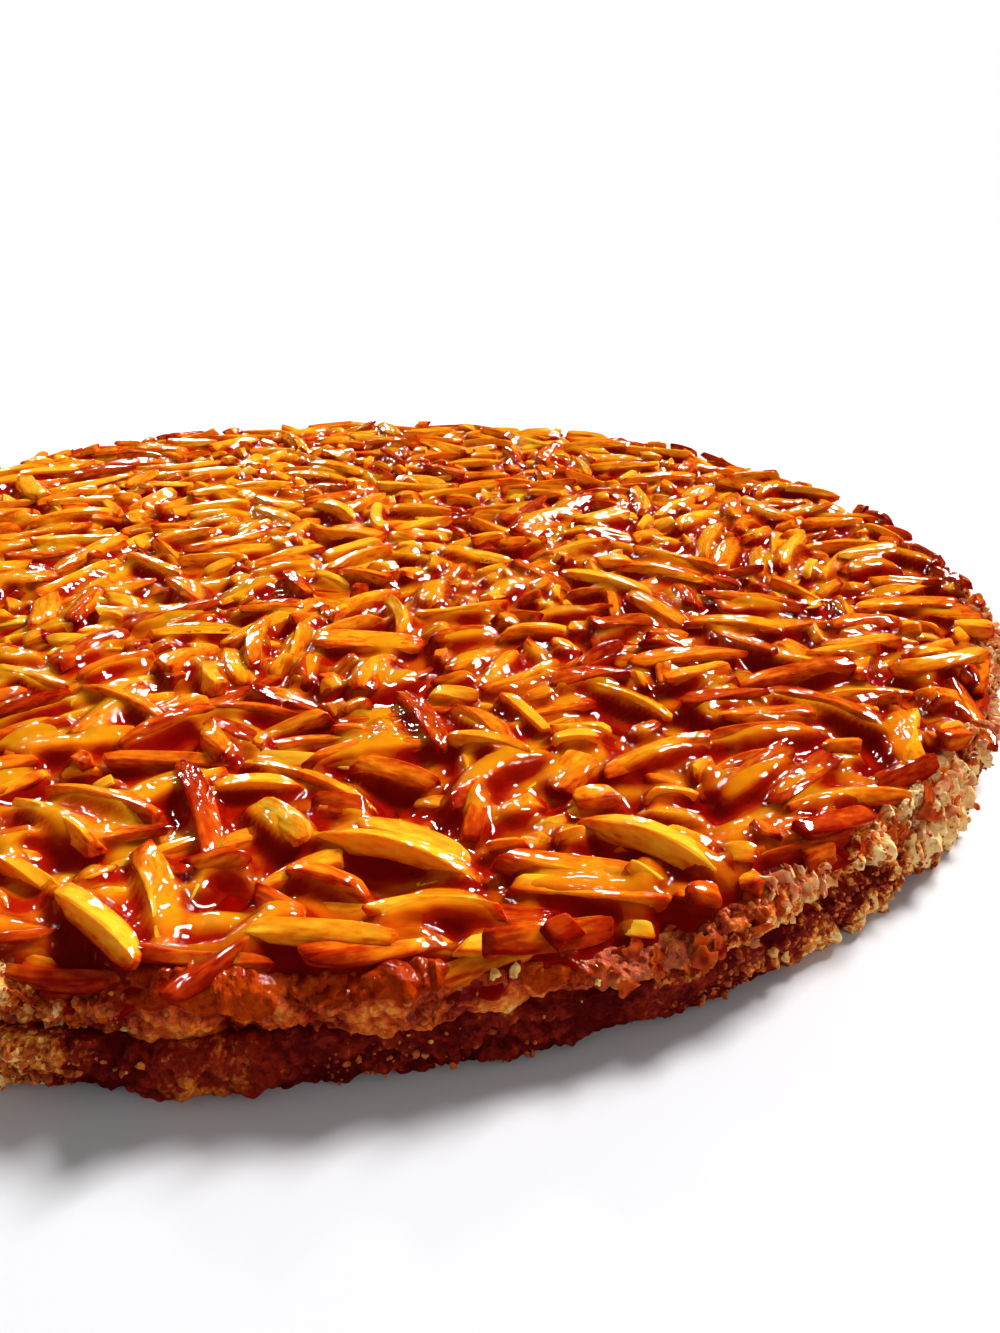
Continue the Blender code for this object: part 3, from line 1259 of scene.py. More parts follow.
    def fill(self, studio: "Studio") -> None:
        """Drop the lower slivers, lay the featured ones on them, and drop the rest round those.

        Args:
            studio: the studio, with the camera.
        """
        featured = self.featured(studio)
        for sliver in featured:
            self.keep_room(sliver, self.bed + self.under_height)
        self.scatter(int(self.count * self.under_share))
        for sliver in featured:
            place = np.array([[sliver.x], [sliver.y], [sliver.heading]])
            height, slope = self.rest(sliver, *self.footprint(sliver, *place))
            height = min(height[0] - self.featured_sink, self.ceiling - sliver.rise())
            self.settle(sliver, place[:, 0], height, slope[0] * 0.6)
            self.stamp(sliver)
            self.keep_room(sliver, 0.0)
        self.line_the_rim(RIM_SHOULDER)
        self.scatter(int(self.count * (1.0 - self.under_share)))
        self.line_the_rim(RIM_SIDE)
        self.soft = self.map.softened(self.soft_width)


@dataclass
class SliverMould:
    """Turns slivers into meshes: cut batons with flat sides, eased edges and slanting or tapered ends."""

    SIZES: ClassVar = ("length", "width", "thickness", "bow", "arch", "toast")

    stations: int = 11
    highest: float = 17.4 * MM
    bevel: float = 0.16
    wobble: float = 0.16 * MM
    bulge: float = 2.4 * MM
    dent: float = 0.9 * MM
    end_ease: float = 0.8
    crisp: float = math.radians(32.0)
    tapered_share: float = 0.32
    dry_above: float = 1.2 * MM
    crevice_shade_from: float = 0.2 * MM
    crevice_shade_over: float = 1.8 * MM
    seed: int = 29

    def section(self) -> np.ndarray:
        """The corners of a bevelled square of half width 1.

        Returns:
            Its corners.
        """
        eased = 1.0 - self.bevel
        points = []
        for side, up in ((1, -1), (1, 1), (-1, 1), (-1, -1)):
            corner = [(side, up * eased), (side * eased, up)]
            points += corner if side == up else corner[::-1]
        return np.array(points, float)

    def faces(self, count: int, corners: int) -> np.ndarray:
        """The faces of a number of slivers, all triangles.

        Args:
            count: how many slivers.
            corners: how many points go round each.

        Returns:
            The triangles.
        """
        rings = np.arange(self.stations * corners).reshape(self.stations, corners)
        after = np.roll(rings, -1, axis=1)
        a, b, c, d = rings[:-1], rings[1:], after[1:], after[:-1]
        walls = np.concatenate([np.stack(corner, -1).reshape(-1, 3) for corner in ((a, c, b), (a, d, c))])
        first_tip = self.stations * corners
        near = np.stack([after[0], rings[0], np.full(corners, first_tip)], axis=-1)
        far = np.stack([rings[-1], after[-1], np.full(corners, first_tip + 1)], axis=-1)
        one = np.concatenate([walls, near, far])
        return (one[None] + (np.arange(count) * (first_tip + 2))[:, None, None]).reshape(-1, 3)

    def fullness(self, s: np.ndarray, draw: np.random.Generator, count: int) -> np.ndarray:
        """How full each sliver is along its length, with a taper of its own at each end.

        Args:
            s: places along the sliver, from -1 to 1.
            draw: the random draws.
            count: how many slivers.

        Returns:
            A share of the full width for each sliver and place.
        """
        tapered = draw.uniform(size=(count, 2)) < self.tapered_share
        ends = np.where(tapered, draw.uniform(0.12, 0.35, (count, 2)), 0.0)
        ends = np.where(ends > 0.0, ends, draw.uniform(0.5, 0.88, (count, 2)))
        powers = draw.uniform(2.4, 6.0, (count, 2))
        end = np.where(s > 0.0, ends[:, 1, None, None], ends[:, 0, None, None])
        power = np.where(s > 0.0, powers[:, 1, None, None], powers[:, 0, None, None])
        full = end + (1.0 - end) * (1.0 - np.abs(s) ** power) ** 0.75
        return full * np.where(np.abs(s) > 0.999, self.end_ease, 1.0)

    def local_points(self, column: dict, draw: np.random.Generator, count: int) -> np.ndarray:
        """The slivers' points in their own axes.

        Args:
            column: the slivers' sizes, by name.
            draw: the random draws.
            count: how many slivers.

        Returns:
            The points, by sliver, station and corner.
        """
        section = self.section()
        core = np.linspace(-0.955, 0.955, self.stations - 2)
        s = np.concatenate([[-1.0], core, [1.0]])[None, :, None]
        side = section[None, None, :, 0]
        up = section[None, None, :, 1]
        full = self.fullness(s, draw, count)
        ridge = draw.uniform(0.25, 1.0, (count, 1, 1))
        lean = draw.uniform(-0.3, 0.3, (count, 1, 1))
        straight = draw.uniform(0.0, 0.7, (count, 1, 1))
        slant = draw.uniform(-0.9, 0.9, (count, 1, 1))
        slope = draw.uniform(-0.8, 0.8, (count, 1, 1))
        narrowed = side * (1.0 + (ridge - 1.0) * (up + 1.0) / 2.0)
        inner = full ** (1.0 - straight * (side < 0.0))
        y = narrowed * inner * column["width"] / 2.0 + column["bow"] * (0.5 - s * s)
        z = (up + lean * narrowed) * full**0.8 * column["thickness"] / 2.0 + column["arch"] * (0.5 - s * s)
        cut = (slant * side * column["width"] + slope * up * column["thickness"]) / 2.0
        x = s * column["length"] / 2.0 + cut * np.abs(s) ** 3 * full
        return np.stack(np.broadcast_arrays(x, y, z), axis=-1)

    def cast(self, name: str, slivers: list[Sliver], caramel: HeightMap, heap: AlmondHeap) -> MeshParts:
        """Make one mesh of many slivers.

        Args:
            name: the piece's name.
            slivers: the slivers.
            caramel: the caramel's surface, which decides how brown an almond is.
            heap: the heap that they belong to.

        Returns:
            The mesh's parts, with the readings that the almond finish uses.
        """
        draw = np.random.default_rng(self.seed + len(slivers))
        grain = Grain(self.seed)
        count = len(slivers)
        sizes = np.array([[getattr(sliver, key) for key in self.SIZES] for sliver in slivers])
        column = {key: sizes[:, index, None, None] for index, key in enumerate(self.SIZES)}
        section = self.section()
        corners = len(section)
        local = self.local_points(column, draw, count).reshape(count, -1, 3)
        tips = np.stack([local[:, :corners].mean(axis=1), local[:, -corners:].mean(axis=1)], axis=1)
        local = np.concatenate([local, tips], axis=1)
        number = np.arange(count)[:, None, None] * np.array([0.031, 0.017, 0.023])
        lay = local * np.array([0.35, 1.0, 1.0]) + number
        bulge = grain.swell(lay, self.bulge) * self.wobble
        bulge = bulge + grain.swell(lay + 0.5, self.dent) * self.wobble * 0.5
        outward = local * np.array([0.0, 1.0, 1.0])
        outward /= np.linalg.norm(outward, axis=-1, keepdims=True) + 1e-6
        local = local + outward * bulge[..., None]
        twist = draw.uniform(-0.4, 0.4, (count, 1, 1))
        places = self.laid(local, slivers, twist)
        facing = self.laid(local + outward, slivers, twist) - places
        over = places[..., 2].max(axis=1) - self.highest
        places[..., 2] -= np.maximum(over, 0.0)[:, None]
        x, y, z = np.moveaxis(places, -1, 0)
        bare = np.clip((z - caramel.read(x, y)) / self.dry_above, 0.0, 1.0)
        # Painted shade: the almond is darkened towards red low in crevices, below the smoothed heap, and on
        # its flanks, which face away from the light, most of all towards the front.
        crevice_shade = np.clip((heap.soft.read(x, y) - self.crevice_shade_from - z) / self.crevice_shade_over, 0.0, 1.0)
        upward = np.clip(facing[..., 2], 0.0, 1.0)
        brown = column["toast"][:, :, 0] * (0.16 + 0.42 * upward**1.5) * (0.4 + 0.6 * bare)
        flank_shade = 0.6 - 0.32 * np.clip(0.5 + y / (110.0 * MM), 0.0, 1.0)
        # The toast reading holds the real browning of the top and this painted shade together.
        toast = np.clip(brown + flank_shade * (1.0 - upward) ** 1.3 + 0.75 * crevice_shade, 0.0, 1.0)
        along = local[..., :1] / (column["length"] / 2.0)
        around = np.concatenate([np.tile(section, (self.stations, 1)), np.zeros((2, 2))])
        cut = np.concatenate([np.broadcast_to(around, (count, *around.shape)), along], axis=-1)
        readings = {"toast": toast.reshape(-1), "bare": bare.reshape(-1)}
        readings |= {"lay": lay.reshape(-1, 3), "cut": cut.reshape(-1, 3)}
        return MeshParts(name, places.reshape(-1, 3), self.faces(count, corners), readings)

    @staticmethod
    def laid(local: np.ndarray, slivers: list[Sliver], twist: np.ndarray) -> np.ndarray:
        """Move each sliver's points from its own axes to its place on the tart.

        Args:
            local: the points in the slivers' own axes.
            slivers: the slivers.
            twist: how far each one's ends are twisted, in radians.

        Returns:
            The points on the tart.
        """
        turned = np.empty_like(local)
        for index, sliver in enumerate(slivers):
            x, y, z = local[index].T
            turn = twist[index, 0, 0] * x / (sliver.length / 2.0)
            cos = np.cos(turn)
            sin = np.sin(turn)
            points = np.stack([x, y * cos - z * sin, y * sin + z * cos], axis=-1)
            lay = np.array(Euler((sliver.roll, 0.0, 0.0)).to_matrix())
            pose = np.array(Euler((0.0, sliver.pitch, sliver.heading), "XYZ").to_matrix())
            turned[index] = points @ (pose @ lay).T + np.array([sliver.x, sliver.y, sliver.z])
        return turned


# The caramel and the pastry.


# Stretches of the side: (angle in degrees, half width in degrees, share). Some are dry and flaky instead of
# soaked, and on some the caramel set smooth against the tin and bloomed. The dry stretches at the front right
# are also set to lighten that side, as painted light.
DRY_STRETCHES = (
    (-45.0, 18.0, 1.0),
    (-18.0, 16.0, 0.6),
    (-100.0, 5.0, 0.8),
    (64.0, 22.0, 0.8),
    (158.0, 26.0, 0.9),
)
BLOOMED_STRETCHES = ((-67.0, 4.5, 0.85), (28.0, 5.0, 0.8), (112.0, 7.0, 0.8), (-128.0, 5.0, 0.8))


def stretch_share(stretches: tuple, angle: np.ndarray) -> np.ndarray:
    """How far each angle lies within any of some stretches, from 0 to 1.

    Args:
        stretches: the stretches.
        angle: the angles.

    Returns:
        A share for each angle.
    """
    share = np.zeros_like(angle)
    for middle, half_width, most in stretches:
        away = (angle - math.radians(middle) + math.pi) % math.tau - math.pi
        share += most * np.exp(-((away / math.radians(half_width)) ** 2))
    return np.clip(share, 0.0, 1.0)


def zip_rings(inner: np.ndarray, outer: np.ndarray, inner_angle: np.ndarray, outer_angle: np.ndarray) -> list:
    """Triangles between two closed rings of unlike counts.

    Args:
        inner: the inner ring's vertex numbers, in order of angle.
        outer: the outer ring's vertex numbers, in order of angle.
        inner_angle: the inner vertices' angles, rising.
        outer_angle: the outer vertices' angles, rising.

    Returns:
        The triangles.
    """
    faces = []
    i = 0
    j = 0
    while i < len(inner) or j < len(outer):
        next_inner = inner_angle[i + 1] if i + 1 < len(inner) else inner_angle[0] + math.tau
        next_outer = outer_angle[j + 1] if j + 1 < len(outer) else outer_angle[0] + math.tau
        here = inner[i % len(inner)]
        there = outer[j % len(outer)]
        if j >= len(outer) or (i < len(inner) and next_inner < next_outer):
            faces.append((here, there, inner[(i + 1) % len(inner)]))
            i += 1
        else:
            faces.append((here, there, outer[(j + 1) % len(outer)]))
            j += 1
    return faces


@dataclass
class CaramelGlaze:
    """The caramel: poured up to a level between the almonds, drawn up against them, and run over the rim."""

    spacing: tuple = (0.7 * MM, 0.74 * MM)
    crowding: float = 0.28
    level_drop: float = 0.6 * MM
    meniscus: float = 0.45 * MM
    film: float = -0.38 * MM
    film_swing: float = 0.5 * MM
    film_slope: float = 0.003
    rim_film: float = 0.75 * MM
    rim_belt: float = 9.0 * MM
    climb: float = 1.7 * MM
    opaque_depth: float = 2.6 * MM
    level_width: float = 3.0 * MM
    level_swing: float = 0.35 * MM
    level_swell: float = 9.0 * MM
    film_swell: float = 7.0 * MM
    film_ripple: float = 2.2 * MM
    depth_width: float = 0.7 * MM
    hollow_shade_from: float = 0.1 * MM
    hollow_shade_over: float = 1.3 * MM
    edge_swing: tuple[float, float] = (1.2 * MM, 0.5 * MM)
    edge_swell: tuple[float, float] = (5.0 * MM, 1.8 * MM)
    rim_steps: int = 1100
    brow: float = 4.6 * MM
    edge: float = 1.8 * MM
    edge_steps: tuple = (
        (0.0, 0.0, 0.0),
        (0.25, 0.0, 0.0),
        (0.5, 0.0, 0.0),
        (0.75, 0.0, 0.05),
        (1.0, 0.0, 0.15),
        (1.0, 0.35, 0.5),
        (1.0, 0.3, 1.2),
        (1.0, -1.6, 2.4),
    )
    turned_under: int = 5
    edge_depth: float = 0.75
    seed: int = 53

    def surface(self, heap: AlmondHeap) -> HeightMap:
        """The caramel's surface round a heap of almonds: level in the gaps, and a film over some slivers.

        Args:
            heap: the almonds.

        Returns:
            The surface.
        """
        grain = Grain(self.seed)
        tops = heap.map
        spots = tops.spots()
        level = tops.softened(self.level_width)
        level.heights += self.level_swing * grain.swell(spots, self.level_swell) - self.level_drop
        film = self.film + self.film_swing * grain.swell(spots + 0.7, self.film_swell)
        film += 0.5 * self.film_swing * grain.swell(spots + 0.3, self.film_ripple)
        film += self.rim_film * heap.gauge.nearness(spots[..., 0], spots[..., 1], self.rim_belt)
        film -= self.film_slope * spots[..., 1]
        drawn = np.minimum(tops.heights + film, level.heights + self.climb)
        drawn = HeightMap(tops.half, np.maximum(drawn, level.heights)).softened(self.meniscus)
        drawn.heights = np.maximum(drawn.heights, level.heights - 0.1 * MM)
        return drawn

    def build(self, heap: AlmondHeap, surface: HeightMap, finish: CaramelFinish) -> bpy.types.Object:
        """Make the piece.

        Args:
            heap: the almonds.
            surface: the caramel's surface.
            finish: its finish.

        Returns:
            The object.
        """
        flat, cells, number = self.middle(heap.gauge, surface)
        faces = [np.stack([number[corner] for corner in corners], -1) for corners in self.halves(cells)]
        rings = self.rim_rings(heap.gauge, surface)
        points = np.concatenate([flat, rings.reshape(-1, 3)])
        ring_numbers = len(flat) + np.arange(rings.shape[0] * rings.shape[1]).reshape(rings.shape[:2])
        edge = self.edge_loop(cells, number)
        edge_angle = np.arctan2(points[edge, 1], points[edge, 0]) % math.tau
        start = int(edge_angle.argmin())
        edge = np.roll(edge, -start)
        edge_angle = np.maximum.accumulate(np.roll(edge_angle, -start))
        rim_angle = np.arange(self.rim_steps) * math.tau / self.rim_steps
        faces.append(np.array(zip_rings(edge, ring_numbers[0], edge_angle, rim_angle)))
        faces += band_faces(ring_numbers)
        faces.append(fan_faces(ring_numbers[-1], len(points)))
        points = np.concatenate([points, [[0.0, 0.0, points[ring_numbers[-1], 2].mean()]]])
        depth = self.depth(heap, surface, points)
        below = slice(len(flat) + self.turned_under * self.rim_steps, None)
        depth[below] = np.maximum(depth[below], self.edge_depth)
        readings = {"depth": depth, "hollow_shade": self.hollow_shade(heap, surface, points)}
        parts = MeshParts("caramel_glaze", points, np.concatenate(faces), readings)
        piece = parts.piece(finish.material(), "caramel")
        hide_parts("almond_layer")
        return piece

    def middle(self, gauge: RimGauge, surface: HeightMap) -> tuple[np.ndarray, np.ndarray, np.ndarray]:
        """The grid of points inside the rim, closer together towards the front.

        Args:
            gauge: the almond layer's rim.
            surface: the caramel's surface.

        Returns:
            The points, which cells of the grid are used, and the number of the point at each crossing.
        """
        widest = gauge.radii.max()
        share = np.linspace(0.0, 1.0, int(2.0 * widest / self.spacing[1]))
        ahead = widest * (2.0 * (share * (1.0 - self.crowding) + share**2 * self.crowding) - 1.0)
        x, y = np.meshgrid(np.arange(-widest, widest, self.spacing[0]), ahead, indexing="ij")
        inside = np.hypot(x, y) < gauge.reach(np.arctan2(y, x) % math.tau) - self.brow - 0.8 * self.spacing[0]
        cells = inside[:-1, :-1] & inside[1:, :-1] & inside[1:, 1:] & inside[:-1, 1:]
        used = np.zeros_like(inside)
        for i, j in itertools.product((0, 1), repeat=2):
            used[i : i + cells.shape[0], j : j + cells.shape[1]] |= cells
        number = np.full(used.shape, -1)
        number[used] = np.arange(used.sum())
        return np.stack([x[used], y[used], surface.read(x[used], y[used])], axis=-1), cells, number

    @staticmethod
    def halves(cells: np.ndarray) -> list:
        """The crossings at the corners of the two triangles of each used cell of a grid."""
        i, j = np.nonzero(cells)
        return [((i, j), (i + 1, j), (i + 1, j + 1)), ((i, j), (i + 1, j + 1), (i, j + 1))]

    def depth(self, heap: AlmondHeap, surface: HeightMap, points: np.ndarray) -> np.ndarray:
        """How thick the caramel is over the almonds under each point, from 0 to 1.

        Args:
            heap: the almonds.
            surface: the caramel's surface.
            points: the points.

        Returns:
            A number for each point.
        """
        cover = np.clip(surface.heights - heap.tops.heights, 0.0, self.opaque_depth)
        cover = HeightMap(surface.half, cover).softened(self.depth_width)
        return cover.read(points[:, 0], points[:, 1]) / self.opaque_depth

    def hollow_shade(self, heap: AlmondHeap, surface: HeightMap, points: np.ndarray) -> np.ndarray:
        """How much painted shade each point gets, in crevices and on flanks where shade falls and more
        towards the front, with deeper colour by the rim and towards the right.

        Args:
            heap: the almonds.
            surface: the caramel's surface.
            points: the points.

        Returns:
            A number from 0 to 1 for each point.
        """
        x, y, z = points.T
        step = surface.STEP
        rise = surface.read(x + step, y) - surface.read(x - step, y)
        lift = surface.read(x, y + step) - surface.read(x, y - step)
        flank_shade = np.clip(np.hypot(rise, lift) / (2.0 * step) - 0.25, 0.0, 1.0)
        crevice_shade = np.clip((heap.soft.read(x, y) - z - self.hollow_shade_from) / self.hollow_shade_over, 0.0, 1.0)
        # Painted shade towards the front, which faces away from the light; towards the right the caramel's
        # own colour is deeper.
        front_shade_and_right_roast = 0.3 * np.clip((x - y) / (1.6 * heap.gauge.radii.max()), 0.0, 1.0)
        return np.clip(crevice_shade + 0.55 * flank_shade + 0.3 * heap.gauge.nearness(x, y, self.rim_belt) + front_shade_and_right_roast, 0.0, 1.0)

    def rim_rings(self, gauge: RimGauge, surface: HeightMap) -> np.ndarray:
        """The rings by which the caramel ends in an uneven, rounded edge and closes underneath.

        Args:
            gauge: the almond layer's rim.
            surface: the caramel's surface.

        Returns:
            The rings' points, from the top down.
        """
        grain = Grain(self.seed)
        angle = np.arange(self.rim_steps) * math.tau / self.rim_steps
        reach = gauge.reach(angle)
        foot = np.stack([reach * np.cos(angle), reach * np.sin(angle), np.zeros_like(angle)], axis=-1)
        swings = zip(self.edge_swing, self.edge_swell)
        edge = self.edge + sum(swing * grain.swell(foot, size) for swing, size in swings)
        rings = []
        for share, outward, down in self.edge_steps:
            inset = self.brow + (edge - self.brow) * share - outward * MM
            x = (reach - inset) * np.cos(angle)
            y = (reach - inset) * np.sin(angle)
            held = (reach - np.maximum(inset, edge)) / (reach - inset)
            rings.append(np.stack([x, y, surface.read(held * x, held * y) - down * MM], axis=-1))
        return np.stack(rings)

    @staticmethod
    def edge_loop(cells: np.ndarray, number: np.ndarray) -> np.ndarray:
        """The vertices round a patch of grid cells, in order, turning left.

        Args:
            cells: which cells are in the patch.
            number: the vertex at each grid point, or -1.

        Returns:
            The vertices.
        """
        onward = {}
        padded = np.pad(cells, 1)
        for i, j in zip(*np.nonzero(cells)):
            if not padded[i + 1, j]:
                onward[(i, j)] = (i + 1, j)
            if not padded[i + 2, j + 1]:
                onward[(i + 1, j)] = (i + 1, j + 1)
            if not padded[i + 1, j + 2]:
                onward[(i + 1, j + 1)] = (i, j + 1)
            if not padded[i, j + 1]:
                onward[(i, j + 1)] = (i, j)
        loop = [next(iter(onward))]
        while onward[loop[-1]] != loop[0]:
            loop.append(onward[loop[-1]])
        return np.array([number[i, j] for i, j in loop])


@dataclass
class BrokenSide:
    """A closed band whose outer face is craggy: the shared shape of the caramel's side and the pastry's."""

    steps: int = 2400
    rows: int = 19
    crag: float = 1.9 * MM
    crumb: float = 1.1 * MM
    grit: float = 0.6 * MM
    warp: float = 1.3 * MM
    warp_size: float = 3.4 * MM
    crag_size: float = 2.8 * MM
    crumb_size: float = 1.6 * MM
    grit_size: float = 0.9 * MM
    sway_size: float = 7.0 * MM
    seed: int = 61
    bloomed: tuple = ()
    wet_to: float = 10.6 * MM
    wet_over: float = 1.2 * MM
    dry_rise: float = 4.0 * MM
    run: float = 2.2 * MM
    run_size: float = 6.0 * MM
    drip: float = 1.2 * MM
    drip_size: float = 1.7 * MM
    wall_shares: tuple[float, float] = (0.965, 0.975)
    wall_drop: float = 1.0 * MM
    crisp: float = math.radians(38.0)
    shown: np.ndarray = field(default_factory=lambda: np.zeros((0, 3)))

    def relief(self, places: np.ndarray, angle: np.ndarray) -> np.ndarray:
        """How far the side stands out at each place, in metres.

        Args:
            places: points on the side before any relief.
            angle: the points' angles round the tart.

        Returns:
            The relief.
        """
        grain = Grain(self.seed)
        dry = stretch_share(DRY_STRETCHES, angle)
        calm = 1.0 - 0.45 * stretch_share(BLOOMED_STRETCHES, angle)
        warp = [grain.swell(places + shift, self.warp_size) for shift in (0.1, 0.2, 0.3)]
        bent = places + self.warp * np.stack(warp, axis=-1)
        ledges = grain.lumps(bent * np.array([0.5, 0.5, 1.3]), self.crag_size)
        flakes = grain.lumps(bent * np.array([1.2, 1.2, 0.6]), self.crag_size)
        out = self.crag * (1.0 + 0.5 * dry) * ((1.0 - dry) * ledges + dry * flakes - 0.45) * calm
        out += self.crumb * (grain.lumps(bent + 1.0, self.crumb_size) - 0.45) * calm
        out += self.grit * (grain.lumps(places + 2.0, self.grit_size) - 0.45)
        return out + 0.5 * self.crag * grain.swell(places, self.sway_size)

    def band(self, name: str, rings: list, material: bpy.types.Material, slot: str) -> bpy.types.Object:
        """Make the piece from its smooth outer rings.

        Args:
            name: the piece's name.
            rings: the outer rings from the top down, each an array of points.
            material: the finish.
            slot: the record's material slot; not used.

        Returns:
            The object.
        """
        smooth = np.stack(rings)
        angle = np.arctan2(smooth[..., 1], smooth[..., 0])
        radius = np.hypot(smooth[..., 0], smooth[..., 1])
        height = smooth[..., 2]
        run = np.gradient(radius, axis=0)
        fall = np.gradient(height, axis=0)
        length = np.hypot(run, fall) + 1e-9
        out_r = -fall / length
        out_z = run / length
        held = np.ones(len(rings))
        held[0] = 0.0
        relief = self.relief(smooth, angle) * held[:, None]
        radius = radius + out_r * relief
        height = height + out_z * relief
        points = np.stack([radius * np.cos(angle), radius * np.sin(angle), np.maximum(height, 0.0)], axis=-1)
        self.shown = points[2:-1].reshape(-1, 3)
        broken = Grain(self.seed + 1).swell(points, 2.5 * MM) * 0.6
        readings = {
            "raised": np.clip(0.5 + relief / (2.0 * MM), 0.0, 1.0),
            "dry": stretch_share(DRY_STRETCHES, angle),
            "bloom": np.clip(stretch_share(self.bloomed, angle) * 2.2 - 1.0 + broken, 0.0, 0.8),
            "wet": self.wetness(points, angle),
        }
        return self.close(name, points, readings).piece(material, slot, crisp=self.crisp)

    def wetness(self, points: np.ndarray, angle: np.ndarray) -> np.ndarray:
        """How thickly runny caramel coats each point: most at the top, in runs of uneven length.

        Args:
            points: points of the side.
            angle: their angles round the tart.

        Returns:
            A number from 0 to 1 for each point.
        """
        grain = Grain(self.seed + 2)
        drips = self.drip * grain.swell(points, self.drip_size)
        level = self.wet_to + self.run * grain.swell(points * np.array([1.0, 1.0, 0.3]), self.run_size)
        level += drips + self.dry_rise * stretch_share(DRY_STRETCHES, angle)
        return np.clip(0.5 + (points[..., 2] - level) / self.wet_over, 0.0, 1.0)

    def close(self, name: str, points: np.ndarray, readings: dict[str, np.ndarray]) -> MeshParts:
        """Close the band with an inner wall.

        Args:
            name: the piece's name.
            points: the outer rings.
            readings: the readings at the outer rings' points.

        Returns:
            The closed band.
        """
        rims = zip((points[-1], points[0]), self.wall_shares)
        inner = [rim * np.array([share, share, 1.0]) for rim, share in rims]
        inner[1] = inner[1] - np.array([0.0, 0.0, self.wall_drop])
        closed = np.concatenate([points, np.stack(inner)])
        numbers = np.arange(len(closed) * self.steps).reshape(-1, self.steps)
        faces = np.concatenate(band_faces(np.concatenate([numbers, numbers[:1]])))
        wall = ((0, 2), (0, 0))
        padded = {key: np.pad(values, wall, "edge").reshape(-1) for key, values in readings.items()}
        return MeshParts(name, closed.reshape(-1, 3), faces, padded)


def band_faces(numbers: np.ndarray) -> list:
    """The triangles between each ring of vertex numbers and the next.

    Args:
        numbers: the rings, which go round to the left, from the top down.

    Returns:
        The triangles, in arrays.
    """
    faces = []
    for upper, lower in zip(numbers, numbers[1:]):
        after = np.roll(upper, -1)
        below = np.roll(lower, -1)
        faces.append(np.stack([upper, lower, below], -1))
        faces.append(np.stack([upper, below, after], -1))
    return faces


def fan_faces(ring: np.ndarray, hub: int) -> np.ndarray:
    """The triangles that close a ring downwards on to a hub."""
    return np.stack([ring, np.full(len(ring), hub), np.roll(ring, -1)], -1)


@dataclass
class CaramelSide(BrokenSide):
    """The side of the almond layer, from its glazed shoulder down to the seam with the pastry."""

    rows: int = 27
    shoulder: tuple = ((5.4, 1.5), (4.0, 0.6), (2.9, 0.45), (1.9, 0.7), (1.1, 1.3), (0.6, 2.2), (0.4, 3.2))
    foot_inset: float = 1.3 * MM
    foot_sway: float = 1.0 * MM
    foot_swell: float = 9.0 * MM
    reach_inset: float = 0.3 * MM
    crown_inset: float = 3.0 * MM
    side_inset: float = 0.4 * MM
    seam_lap: float = 0.2 * MM

    def build(self, gauge: RimGauge, crust: RimGauge, surface: HeightMap) -> bpy.types.Object:
        """Make the piece.

        Args:
            gauge: the almond layer's rim.
            crust: the pastry's rim.
            surface: the caramel's surface.

        Returns:
            The object.
        """
        angle = np.arange(self.steps) * math.tau / self.steps
        reach = gauge.reach(angle) - self.reach_inset
        seam = crust.shoulder(angle) - self.seam_lap
        inner = reach - self.crown_inset
        crown = surface.read(inner * np.cos(angle), inner * np.sin(angle))
        near = np.exp(-0.5 * (np.arange(-30, 31) / 9.0) ** 2)
        crown = np.convolve(np.pad(crown, 30, "wrap"), near / near.sum(), "valid")
        path = [(np.full_like(crown, inset * MM), crown - down * MM) for inset, down in self.shoulder]
        last = path[-1][1]
        seam_line = np.stack([reach * np.cos(angle), reach * np.sin(angle), seam], axis=-1)
        foot = self.foot_inset + self.foot_sway * Grain(self.seed).swell(seam_line, self.foot_swell)
        for share in (0.5, 1.0):
            path.append((self.side_inset * (1.0 - share) + foot * share, last + (seam - last) * share))
        insets, heights = (np.stack(values) for values in zip(*path))
        stations = np.linspace(0.0, len(path) - 1.0, self.rows)
        low = np.minimum(stations.astype(int), len(path) - 2)
        part = (stations - low)[:, None]
        inset = insets[low] * (1.0 - part) + insets[low + 1] * part
        height = heights[low] * (1.0 - part) + heights[low + 1] * part
        radius = reach - inset
        rings = np.stack([radius * np.cos(angle), radius * np.sin(angle), height], axis=-1)
        return self.band("caramel_side", list(rings), BROKEN_SIDE.material(), "caramel")


